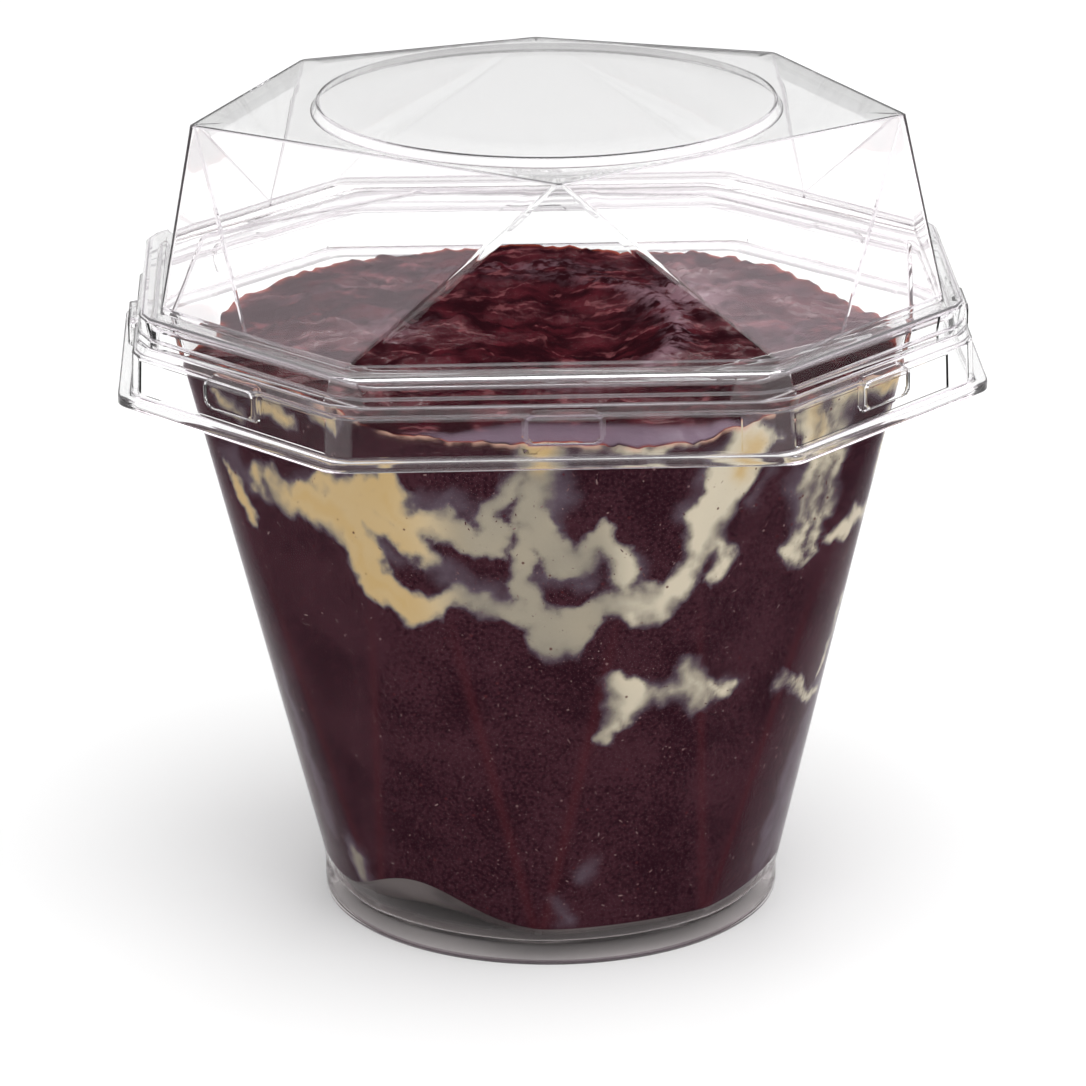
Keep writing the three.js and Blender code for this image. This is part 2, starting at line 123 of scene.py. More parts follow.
def turned(angle: np.ndarray | float, start: np.ndarray | float) -> np.ndarray:
    """Turn in degrees from one direction to another, from -180 to 180."""
    return (angle - start + FULL_TURN / 2) % FULL_TURN - FULL_TURN / 2


def linear(red: int, green: int, blue: int) -> Colour:
    """Scene-linear colour of an sRGB colour given from 0 to 255."""

    def channel(value: int) -> float:
        """Undoes the sRGB curve for one channel."""
        share = value / 255.0
        return share / 12.92 if share <= 0.04045 else ((share + 0.055) / 1.055) ** 2.4

    return channel(red), channel(green), channel(blue)


# Outlines


@dataclass(frozen=True)
class Flare:
    """How far each kind of side moves when an outline is moved by one unit."""

    front: float = 1.0
    slant: float = 1.0
    side: float = 1.0

    def factors(self) -> np.ndarray:
        """The factor of each of the eight sides, counterclockwise from the front right slant."""
        return np.array([self.slant, self.side, self.slant, self.front] * 2)


@dataclass(frozen=True)
class Octagon:
    """Eight-sided outline: half length and distance of the front, distance and half length of the sides."""

    front_half: float
    front_y: float
    side_x: float
    side_half: float
    flare: Flare = Flare()
    turn: float = 0.0

    def edges(self, reach: float) -> tuple[np.ndarray, np.ndarray]:
        """Outward normal and distance of each side, before the outline is turned.

        Args:
            reach: how far the outline is moved outwards.

        Returns:
            The normals, and the distances from the axis.
        """
        quarter = [
            (self.front_half, -self.front_y),
            (self.side_x, -self.side_half),
            (self.side_x, self.side_half),
            (self.front_half, self.front_y),
        ]
        points = np.array(quarter + [(-x, y) for x, y in reversed(quarter)])
        along = np.roll(points, -1, axis=0) - points
        normals = np.stack([along[:, 1], -along[:, 0]], axis=1) / np.linalg.norm(along, axis=1)[:, None]
        return normals, (normals * points).sum(axis=1) + reach * self.flare.factors()

    def corners(self, reach: float = 0.0) -> np.ndarray:
        """Corners of the outline moved outwards by a reach, counterclockwise from the front right."""
        normals, offsets = self.edges(reach)
        (bx, by), (ax, ay) = np.roll(normals, 1, axis=0).T, normals.T
        before, after = np.roll(offsets, 1), offsets
        cross = bx * ay - by * ax
        x, y = (before * ay - after * by) / cross, (bx * after - ax * before) / cross
        cos, sin = math.cos(math.radians(self.turn)), math.sin(math.radians(self.turn))
        return np.stack([x * cos - y * sin, x * sin + y * cos], axis=1)


@dataclass(frozen=True)
class Stations:
    """Places round an eight-sided ring.

    The round of corner c takes the places from 2c to 2c + 1, and the side after it those up to 2c + 2.
    """

    places: np.ndarray

    @property
    def index(self) -> np.ndarray:
        """Number of the corner, or of the corner before the side."""
        return (self.places // 2).astype(int)

    @property
    def on_corner(self) -> np.ndarray:
        """Whether each place is on the round of a corner."""
        return (np.floor(self.places) % 2) < 0.5

    @property
    def share(self) -> np.ndarray:
        """How far along its corner or its side each place is."""
        return self.places % 1.0

    def outline(self, corners: np.ndarray, trim: float, flat: float = 0.0) -> np.ndarray:
        """Points on an outline with rounded or cut corners.

        Args:
            corners: the eight sharp corners.
            trim: how far from its corner each round begins.
            flat: 0 for a round corner and 1 for one cut straight.

        Returns:
            One point for each place.
        """
        after = np.roll(corners, -1, axis=0) - corners
        after /= np.linalg.norm(after, axis=1)[:, None]
        start = corners - np.roll(after, 1, axis=0) * trim
        end = corners + after * trim
        control = blend(corners, (start + end) / 2, flat)
        share, index = self.share[:, None], self.index
        first, second = blend(start[index], control[index], share), blend(control[index], end[index], share)
        arc = blend(first, second, share)
        line = blend(end[index], np.roll(start, -1, axis=0)[index], share)
        return np.where(self.on_corner[:, None], arc, line)


def raised(outline: np.ndarray, z: float | np.ndarray) -> np.ndarray:
    """The outline's points at a height."""
    return np.column_stack([outline, np.broadcast_to(z, len(outline))])


@dataclass(frozen=True)
class Key:
    """A ring that a wall passes through: its points, the reach of its rounding, and rows to the next ring."""

    ring: np.ndarray
    crease: float
    rows: int = 1


def lofted(keys: Sequence[Key], steps: int = 3) -> tuple[np.ndarray, np.ndarray]:
    """Rows of points through key rings, with a round at each of them.

    Args:
        keys: the rings in order, of equal length.
        steps: steps of each round.

    Returns:
        Points by row, place and axis, and for each row whether the faces after it are part of a round.
    """
    arrive, leave = [], []
    for i, key in enumerate(keys):
        back = keys[max(i - 1, 0)].ring - key.ring
        forth = keys[min(i + 1, len(keys) - 1)].ring - key.ring
        for way, found in ((back, arrive), (forth, leave)):
            length = np.maximum(np.linalg.norm(way, axis=1, keepdims=True), TINY)
            found.append(key.ring + way * np.minimum(key.crease / length, MOST_OF_GAP))
    rows, rounds = [], []
    for i, key in enumerate(keys):
        inside = 0 < i < len(keys) - 1
        if inside and key.crease > 0:
            for share in np.linspace(0.0, 1.0, steps + 1):
                first, second = blend(arrive[i], key.ring, share), blend(key.ring, leave[i], share)
                rows.append(blend(first, second, share))
                rounds.append(share < 1)
        else:
            rows.append(key.ring)
            rounds.append(False)
        if i + 1 < len(keys):
            rows += [blend(leave[i], arrive[i + 1], k / key.rows) for k in range(1, key.rows)]
            rounds += [False] * (key.rows - 1)
    return np.array(rows), np.array(rounds)


# Meshes


def grid_faces(rows: int, count: int, closed: bool = True) -> np.ndarray:
    """Four-sided faces between rows of points, facing outwards where the rows rise counterclockwise.

    Args:
        rows: number of rows.
        count: points in a row.
        closed: whether each row runs round to its start.

    Returns:
        Indices of the faces' corners.
    """
    across = np.arange(count if closed else count - 1)
    row = np.arange(rows - 1)[:, None] * count
    a, b = row + across, row + (across + 1) % count
    return np.stack([a, b, b + count, a + count], axis=2).reshape(-1, 4)


def make_piece(
    name: str,
    points: np.ndarray,
    faces: np.ndarray,
    materials: Sequence[bpy.types.Material],
    which: np.ndarray | None = None,
    values: dict[str, np.ndarray] | None = None,
    weld: bool = False,
) -> bpy.types.Object:
    """Makes a smooth mesh object whose place is in its mesh.

    Args:
        name: the piece's name.
        points: corners in millimetres.
        faces: four corners to a face, the last one repeated for a triangle.
        materials: finishes in the order of the slots.
        which: slot of each face.
        values: named values of the corners for the finishes.
        weld: whether corners at one place are joined.

    Returns:
        The object.
    """
    mesh = bpy.data.meshes.new(name)
    mesh.from_pydata((points * METRES).tolist(), [], faces.tolist())
    for label, numbers in (values or {}).items():
        mesh.attributes.new(label, "FLOAT", "POINT").data.foreach_set("value", numbers.astype(np.float32))
    for material in materials:
        mesh.materials.append(material)
    if which is not None:
        mesh.polygons.foreach_set("material_index", which.astype(np.int32))
    if weld:
        shell = bmesh.new()
        shell.from_mesh(mesh)
        bmesh.ops.remove_doubles(shell, verts=shell.verts, dist=WELD)
        bmesh.ops.dissolve_degenerate(shell, edges=shell.edges, dist=WELD)
        shell.to_mesh(mesh)
        shell.free()
    mesh.shade_smooth()
    mesh.update()
    piece = bpy.data.objects.new(name, mesh)
    bpy.context.scene.collection.objects.link(piece)
    return piece


def settle(piece: bpy.types.Object, slot: Slot, *nodes: str) -> bpy.types.Object:
    """Lets a finished piece ride on the body and stand for its CAD nodes, which it hides.

    Args:
        piece: the finished object.
        slot: the record's material slot; not used.
        nodes: CAD nodes that it stands for.

    Returns:
        The same object.
    """
    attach(piece, BODY)
    if nodes:
        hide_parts(*nodes)
    replaced = ", ".join(nodes) or "nothing"
    LOG.info("%s: %d faces, stands for %s", piece.name, len(piece.data.polygons), replaced)
    return piece


# Finishes


@dataclass(frozen=True)
class Waves:
    """Noise in object space: waves to a metre, octaves on top of the first and a factor on each axis."""

    scale: float
    detail: float = 2.0
    stretch: Triple = (1.0, 1.0, 1.0)


@dataclass(frozen=True)
class Fade:
    """How a value becomes a share: where the share is 0, where it is full, and how much that is."""

    low: float
    high: float
    strength: float = 1.0


@dataclass(frozen=True)
class Value:
    """A shader value: arithmetic on it adds Math nodes."""

    graph: "NodeTree"
    socket: bpy.types.NodeSocket

    def math(self, operation: str, *others: "Value | float", reverse: bool = False) -> "Value":
        """Adds one Math node.

        Args:
            operation: the node's operation.
            others: the other inputs.
            reverse: whether the first other input comes before this value.

        Returns:
            The result.
        """
        inputs = [*others, self] if reverse else [self, *others]
        node = self.graph.add("ShaderNodeMath", {"operation": operation}, dict(enumerate(inputs)))
        return Value(self.graph, node.outputs[0])

    def __add__(self, other: "Value | float") -> "Value":
        """This value and another."""
        return self.math("ADD", other)

    def __radd__(self, other: float) -> "Value":
        """A number and this value."""
        return self.math("ADD", other, reverse=True)

    def __sub__(self, other: "Value | float") -> "Value":
        """This value less another."""
        return self.math("SUBTRACT", other)

    def __rsub__(self, other: float) -> "Value":
        """A number less this value."""
        return self.math("SUBTRACT", other, reverse=True)

    def __mul__(self, other: "Value | float") -> "Value":
        """This value times another."""
        return self.math("MULTIPLY", other)

    def __rmul__(self, other: float) -> "Value":
        """A number times this value."""
        return self.math("MULTIPLY", other, reverse=True)

    def ease(self, low: float, high: float) -> "Value":
        """Share from 0 at low to 1 at high, eased at both ends; low may be the larger one."""
        sockets = {"Value": self, "From Min": min(low, high), "From Max": max(low, high)}
        node = self.graph.add("ShaderNodeMapRange", {"interpolation_type": "SMOOTHSTEP"}, sockets)
        share = Value(self.graph, node.outputs["Result"])
        return share if low < high else 1.0 - share

    def fade(self, fade: Fade) -> "Value":
        """The share that a fade makes of this value."""
        share = self.ease(fade.low, fade.high)
        return share if fade.strength == 1.0 else share * fade.strength

    def with_rest_of(self, other: "Value", share: float) -> "Value":
        """A share of this value and the rest of another."""
        return self * share + other * (1.0 - share)


class NodeTree:
    """Node tree of any kind."""

    def __init__(self, tree: bpy.types.NodeTree) -> None:
        """Empties the tree."""
        self.tree = tree
        self.tree.nodes.clear()

    def add(self, kind: str, settings: dict | None = None, sockets: dict | None = None) -> bpy.types.Node:
        """Adds a node.

        Args:
            kind: the node's type.
            settings: its properties.
            sockets: values or links by the socket's number, identifier or name.

        Returns:
            The node.
        """
        node = self.tree.nodes.new(kind)
        for label, setting in (settings or {}).items():
            setattr(node, label, setting)
        for label, given in (sockets or {}).items():
            socket = self._socket(node, label)
            source = given.socket if isinstance(given, Value) else given
            if isinstance(source, bpy.types.NodeSocket):
                self.tree.links.new(source, socket)
            else:
                socket.default_value = source
        return node

    @staticmethod
    def _socket(node: bpy.types.Node, label: int | str) -> bpy.types.NodeSocket:
        """The input with that number, identifier or name."""
        if isinstance(label, int):
            return node.inputs[label]
        return next(socket for socket in node.inputs if label in (socket.identifier, socket.name))

    def random(self, limits: Span, seed: int) -> Value:
        """A random number between limits for each element."""
        sockets = {"Min_001": limits[0], "Max_001": limits[1], "Seed": seed}
        node = self.add("FunctionNodeRandomValue", {"data_type": "FLOAT"}, sockets)
        return Value(self, next(socket for socket in node.outputs if socket.identifier == "Value_001"))


class Graph(NodeTree):
    """Node tree of a material or of the surroundings."""

    def __init__(self, owner: bpy.types.Material | bpy.types.World) -> None:
        """Takes over the owner's tree."""
        self.owner = owner
        owner.use_nodes = True
        super().__init__(owner.node_tree)

    def place(self) -> bpy.types.NodeSocket:
        """Object coordinates."""
        return self.add("ShaderNodeTexCoord").outputs["Object"]

    def noise(self, waves: Waves) -> Value:
        """Noise round its mean of 0.5."""
        mapping = self.add("ShaderNodeMapping", None, {"Vector": self.place(), "Scale": waves.stretch})
        sockets = {"Vector": mapping.outputs[0], "Scale": waves.scale, "Detail": waves.detail}
        return Value(self, self.add("ShaderNodeTexNoise", None, sockets).outputs[0])

    def specks(self, scale: float, share: float, edge: Span = (0.08, 0.16)) -> Value:
        """Small round dots, 1 in a dot and 0 between them.

        Args:
            scale: cells to a metre.
            share: part of the cells that hold a dot.
            edge: where the soft edge of a dot begins and ends, in cells from its middle.

        Returns:
            The dots.
        """
        cells = self.add("ShaderNodeTexVoronoi", None, {"Vector": self.place(), "Scale": scale})
        inside = Value(self, cells.outputs["Distance"]).ease(*reversed(edge))
        split = self.add("ShaderNodeSeparateColor", None, {0: cells.outputs["Color"]})
        return inside * Value(self, split.outputs[0]).math("LESS_THAN", share)

    def attribute(self, name: str) -> Value:
        """A named value of the mesh."""
        node = self.add("ShaderNodeAttribute", {"attribute_name": name})
        return Value(self, node.outputs["Fac"])

    def mix(
        self, share: Value | float, start: bpy.types.NodeSocket | Colour, end: bpy.types.NodeSocket | Colour
    ) -> bpy.types.NodeSocket:
        """A colour between two others."""

        def full(colour: bpy.types.NodeSocket | Colour) -> bpy.types.NodeSocket | tuple[float, ...]:
            """Gives a plain colour its alpha."""
            return colour if isinstance(colour, bpy.types.NodeSocket) else (*colour, 1.0)

        sockets = {"Factor_Float": share, "A_Color": full(start), "B_Color": full(end)}
        node = self.add("ShaderNodeMix", {"data_type": "RGBA"}, sockets)
        return next(socket for socket in node.outputs if socket.identifier == "Result_Color")

    def bump(self, height: Value, distance: float) -> bpy.types.NodeSocket:
        """A normal tilted by a height from 0 to 1 over a distance in millimetres."""
        sockets = {"Height": height, "Distance": distance * METRES, "Strength": 1.0}
        return self.add("ShaderNodeBump", None, sockets).outputs["Normal"]

    def finish(self, sockets: dict) -> bpy.types.Material:
        """Adds the surface shader with its inputs and ends the material."""
        shader = self.add("ShaderNodeBsdfPrincipled", None, sockets)
        self.add("ShaderNodeOutputMaterial", None, {"Surface": shader.outputs[0]})
        return self.owner


@dataclass(frozen=True)
class ClearPlastic:
    """Thin clear plastic with a slight waviness from moulding; a clearness below 1 makes it milky. The grey
    tints of the edges and the foot are painted shade, and that of the base is painted shade in part.
    """

    name: str
    ior: float
    tint: Colour = (0.985, 0.985, 0.985)
    roughness: float = 0.02
    clearness: float = 1.0
    waves: Waves = Waves(60.0, 1.0)
    wave_height: float = 0.02

    def material(self) -> bpy.types.Material:
        """Builds the material."""
        graph = Graph(bpy.data.materials.new(self.name))
        return graph.finish(
            {
                "Base Color": (*self.tint, 1.0),
                "Roughness": self.roughness,
                "IOR": self.ior,
                "Transmission Weight": self.clearness,
                "Normal": graph.bump(graph.noise(self.waves), self.wave_height),
            }
        )


# The grey tint and lower clearness of the rounds and edges are painted shade: they draw the creases as grey
# lines.
EDGE_PLASTIC = ClearPlastic("plastic_edge", ior=1.33, tint=(0.76, 0.73, 0.76), roughness=0.05, clearness=0.9)

CUP_PLASTICS: dict[CupFinish, ClearPlastic] = {
    CupFinish.WALL: ClearPlastic("cup_plastic", ior=1.065),
    # The base's grey tint is partly painted shade: it stands in for the shadow under the cup seen through the
    # base, over a slightly milky plastic.
    CupFinish.BASE: ClearPlastic("cup_base", ior=1.1, tint=(0.6, 0.56, 0.56), roughness=0.08, clearness=0.96),
    CupFinish.RIM: EDGE_PLASTIC,
    # The foot's dark tint is painted shade along the bottom edge of the cup, where it meets the floor.
    CupFinish.FOOT_SHADE: ClearPlastic("cup_foot_shade", ior=1.25, tint=(0.2, 0.16, 0.18), roughness=0.08, clearness=0.9),
}

LID_PLASTICS: dict[LidFinish, ClearPlastic] = {
    LidFinish.PLAIN: ClearPlastic("lid_plastic", ior=1.38),
    LidFinish.FAINT: ClearPlastic("lid_skirt", ior=1.1),
    LidFinish.EDGE: EDGE_PLASTIC,
}


@dataclass(frozen=True)
class WallFood:
    """Acai and cream pressed flat against the cup's wall, told apart by the distance to the streaks.

    The cream is bluish where it is thin, pale where it is milky and tan where it is thick. Lighter red lines
    along the cup's creases are painted light, and some of the hazes are painted reflections.
    """

    name: str
    acai: Colour = linear(38, 17, 24)
    acai_light: Colour = linear(62, 35, 42)
    # Bluish grey of thin cream, also used for the painted reflections at the wall's lower edges.
    veil_and_reflection: Colour = linear(90, 78, 88)
    thin: Colour = linear(133, 126, 113)
    pale: Colour = linear(195, 185, 165)
    tan: Colour = linear(184, 156, 108)
    rim: Colour = linear(190, 152, 134)
    sheen_tint: Colour = linear(220, 180, 216)
    # Lighter red of the painted light along the cup's creases; the red dots share it.
    crease: Colour = linear(76, 32, 36)
    speck: Colour = linear(128, 96, 98)
    broad: Waves = Waves(120.0)
    middle: Waves = Waves(360.0)
    fine: Waves = Waves(1200.0, 3.0)
    grain: Waves = Waves(2600.0)
    broad_share: float = 0.4
    light_fade: Fade = Fade(0.36, 0.64)
    crease_light_strength: float = 0.4
    speck_scale: float = 800.0
    speck_share: float = 0.1
    speck_strength: float = 0.7
    dot_scale: float = 700.0
    dot_share: float = 0.22
    dot_strength: float = 0.8
    haze_least: float = 0.1
    haze_waves: float = 1.1
    milk_least: float = 0.55
    milk_waves: float = 0.9
    warmth_waves: float = 0.5
    spread: float = 0.55
    ragged_middle: float = 1.3
    ragged_fine: float = 0.8
    crisp_least: float = 0.7
    crisp_fade: Fade = Fade(0.36, 0.62, 1.2)
    pale_fade: Fade = Fade(0.1, 1.05)
    tan_fade: Fade = Fade(-0.1, 1.1)
    veil_fade: Fade = Fade(-0.7, 0.3, 0.7)
    thin_fade: Fade = Fade(-0.2, 1.0, 0.9)
    cream_fade: Fade = Fade(0.1, 1.9)
    rim_fade: Fade = Fade(0.3, 0.6)
    roughness: float = 0.55
    sheen: float = 0.25
    sheen_roughness: float = 0.3

    def _ground(self, graph: Graph, broad: Value, middle: Value) -> bpy.types.NodeSocket:
        """Colour of the acai, with painted light along the cup's creases, specks, and hazes that are partly
        painted reflections.
        """
        light = broad.with_rest_of(graph.noise(self.grain), self.broad_share).fade(self.light_fade)
        ground = graph.mix(light, self.acai, self.acai_light)
        # Painted light: lighter red lines along the creases of the cup's wall.
        ground = graph.mix(graph.attribute("crease") * self.crease_light_strength, ground, self.crease)
        specks = graph.specks(self.speck_scale, self.speck_share) * self.speck_strength
        ground = graph.mix(specks, ground, self.speck)
        # Hazes: thin cream, and painted reflections down the lower left and right edges of the wall.
        haze_and_reflection = graph.attribute("haze_and_reflection") * (middle * self.haze_waves + self.haze_least)
        return graph.mix(haze_and_reflection, ground, self.veil_and_reflection)

    def _cream(self, graph: Graph, broad: Value) -> bpy.types.NodeSocket:
        """Colour of the cream where it is thick enough to hide the acai."""
        milk = graph.attribute("milk") * (self.milk_least + broad * self.milk_waves)
        cream = graph.mix(milk.fade(self.pale_fade), self.thin, self.pale)
        warmth = graph.attribute("warmth") + (broad - NOISE_MEAN) * self.warmth_waves
        return graph.mix(warmth.fade(self.tan_fade), cream, self.tan)

    def material(self) -> bpy.types.Material:
        """Builds the material."""
        graph = Graph(bpy.data.materials.new(self.name))
        broad, middle, fine = (graph.noise(waves) for waves in (self.broad, self.middle, self.fine))
        crisp = self.crisp_least + broad.fade(self.crisp_fade)
        ragged = (middle - NOISE_MEAN) * self.ragged_middle + (fine - NOISE_MEAN) * self.ragged_fine
        inside = (ragged + self.spread - graph.attribute("cream")) * crisp
        colour = graph.mix(inside.fade(self.veil_fade), self._ground(graph, broad, middle), self.veil_and_reflection)
        colour = graph.mix(inside.fade(self.thin_fade), colour, self.thin)
        colour = graph.mix(inside.fade(self.cream_fade), colour, self._cream(graph, broad))
        dots = graph.specks(self.dot_scale, self.dot_share) * self.dot_strength
        colour = graph.mix(dots, colour, self.crease)
        rim = graph.attribute("rim") * middle.fade(self.rim_fade)
        return graph.finish(
            {
                "Base Color": graph.mix(rim, colour, self.rim),
                "Roughness": self.roughness,
                "Specular IOR Level": 0.0,
                "Sheen Weight": self.sheen,
                "Sheen Roughness": self.sheen_roughness,
                "Sheen Tint": (*self.sheen_tint, 1.0),
            }
        )


@dataclass(frozen=True)
class CloudyAcai:
    """The underside of the acai, seen through a cloudy air pocket at the foot."""

    name: str
    colour: Colour = linear(62, 54, 54)
    light: Colour = linear(98, 90, 89)
    clouds: Waves = Waves(90.0)
    light_fade: Fade = Fade(0.35, 0.65)
    roughness: float = 0.5
    mirror: float = 0.2

    def material(self) -> bpy.types.Material:
        """Builds the material."""
        graph = Graph(bpy.data.materials.new(self.name))
        colour = graph.mix(graph.noise(self.clouds).fade(self.light_fade), self.colour, self.light)
        sockets = {"Base Color": colour, "Roughness": self.roughness, "Specular IOR Level": self.mirror}
        return graph.finish(sockets)


@dataclass(frozen=True)
class WetAcai:
    """The open top of the acai, dark red, with wet patches, painted glints and gloss, and a painted sheen
    down its front edge.
    """

    name: str
    colour: Colour = linear(36, 10, 16)
    light: Colour = linear(78, 26, 34)
    # Pinkish colour of the painted glints.
    glint_thread: Colour = linear(140, 84, 88)
    # Pale pinkish grey of the ridge's flecks, partly painted highlight, and of the painted gloss spots.
    crest_and_gloss: Colour = linear(128, 98, 108)
    rim: Colour = linear(150, 66, 50)
    # Mauve grey of a painted sheen along the front edge of the top.
    front_sheen: Colour = linear(118, 100, 114)
    patches: Waves = Waves(110.0, 3.0, (0.45, 1.0, 1.0))
    lumps: Waves = Waves(380.0, 4.0, (0.7, 1.0, 1.0))
    lines: Waves = Waves(150.0, 4.0, (0.4, 1.0, 1.0))
    flecks: Waves = Waves(800.0, 3.0)
    lump_share: float = 0.55
    light_fade: Fade = Fade(0.4, 0.64)
    line_fade: Fade = Fade(0.02, 0.0)
    glint_thread_fade: Fade = Fade(0.42, 0.62)
    glint_thread_strength: float = 0.5
    rim_fade: Fade = Fade(0.35, 0.55)
    fleck_share: float = 0.7
    fleck_fade: Fade = Fade(0.4, 0.58)
    front_sheen_least: float = 0.4
    side_wetness: float = 0.08
    wet_patches: Fade = Fade(0.44, 0.72)
    wet_lumps: Fade = Fade(0.38, 0.62)
    roughness: float = 0.5
    coat: float = 0.7
    coat_roughness: float = 0.12
    coat_ior: float = 1.5
    relief: float = 0.25

    def material(self) -> bpy.types.Material:
        """Builds the material."""
        graph = Graph(bpy.data.materials.new(self.name))
        patches, lumps = graph.noise(self.patches), graph.noise(self.lumps)
        lines = (graph.noise(self.lines) - NOISE_MEAN).math("ABSOLUTE")
        # Painted glints: thin pinkish threads over the lumps.
        glint_threads = lines.fade(self.line_fade) * lumps.fade(self.glint_thread_fade)
        flecks = graph.noise(self.flecks).with_rest_of(patches, self.fleck_share)
        colour = self.colour
        for share, over in (
            (lumps.with_rest_of(patches, self.lump_share).fade(self.light_fade), self.light),
            (glint_threads * self.glint_thread_strength, self.glint_thread),
            (graph.attribute("rim") * lumps.fade(self.rim_fade), self.rim),
            # Flecks along the ridge, partly painted highlight, and painted gloss spots.
            (graph.attribute("crest_and_gloss") * flecks.fade(self.fleck_fade), self.crest_and_gloss),
            # Painted sheen along the front edge of the top.
            (graph.attribute("front_sheen") * (self.front_sheen_least + patches), self.front_sheen),
        ):
            colour = graph.mix(share, colour, over)
        wet = (patches + graph.attribute("sides") * self.side_wetness).fade(self.wet_patches)
        wet = wet * lumps.fade(self.wet_lumps)
        return graph.finish(
            {
                "Base Color": colour,
                "Roughness": self.roughness,
                "Specular IOR Level": 0.0,
                "Coat Weight": wet * self.coat,
                "Coat Roughness": self.coat_roughness,
                "Coat IOR": self.coat_ior,
                "Normal": graph.bump(lumps, self.relief),
            }
        )


@dataclass(frozen=True)
class Grain:
    """Grains of fruit, some darker and some lighter."""

    name: str
    dark: Colour = linear(72, 40, 46)
    light: Colour = linear(140, 112, 112)
    rarity: float = 3.0
    roughness: float = 0.6

    def material(self) -> bpy.types.Material:
        """Builds the material."""
        graph = Graph(bpy.data.materials.new(self.name))
        colour = graph.mix(graph.attribute("tone").math("POWER", self.rarity), self.dark, self.light)
        return graph.finish({"Base Color": colour, "Roughness": self.roughness, "Specular IOR Level": 0.0})


# Lid


@dataclass(frozen=True)
class SkirtLevel:
    """One level of the lid's skirt.

    Its reach from the ledge's outline, its height, the trim and flatness of its corners, crease and rows.
    """

    reach: float
    z: float
    trim: float
    flat: float
    crease: float
    rows: int = 1


@dataclass(frozen=True)
class FacetKey:
    """A place on the foot of the dome, and the corner of the top and the offset from it that it leads to."""

    place: float
    corner: int
    offset: float

    def mirrored(self) -> "FacetKey":
        """The same on the other side of the front."""
        return FacetKey(RING - 1 - self.place, -self.corner % TOP_CORNERS, -self.offset)


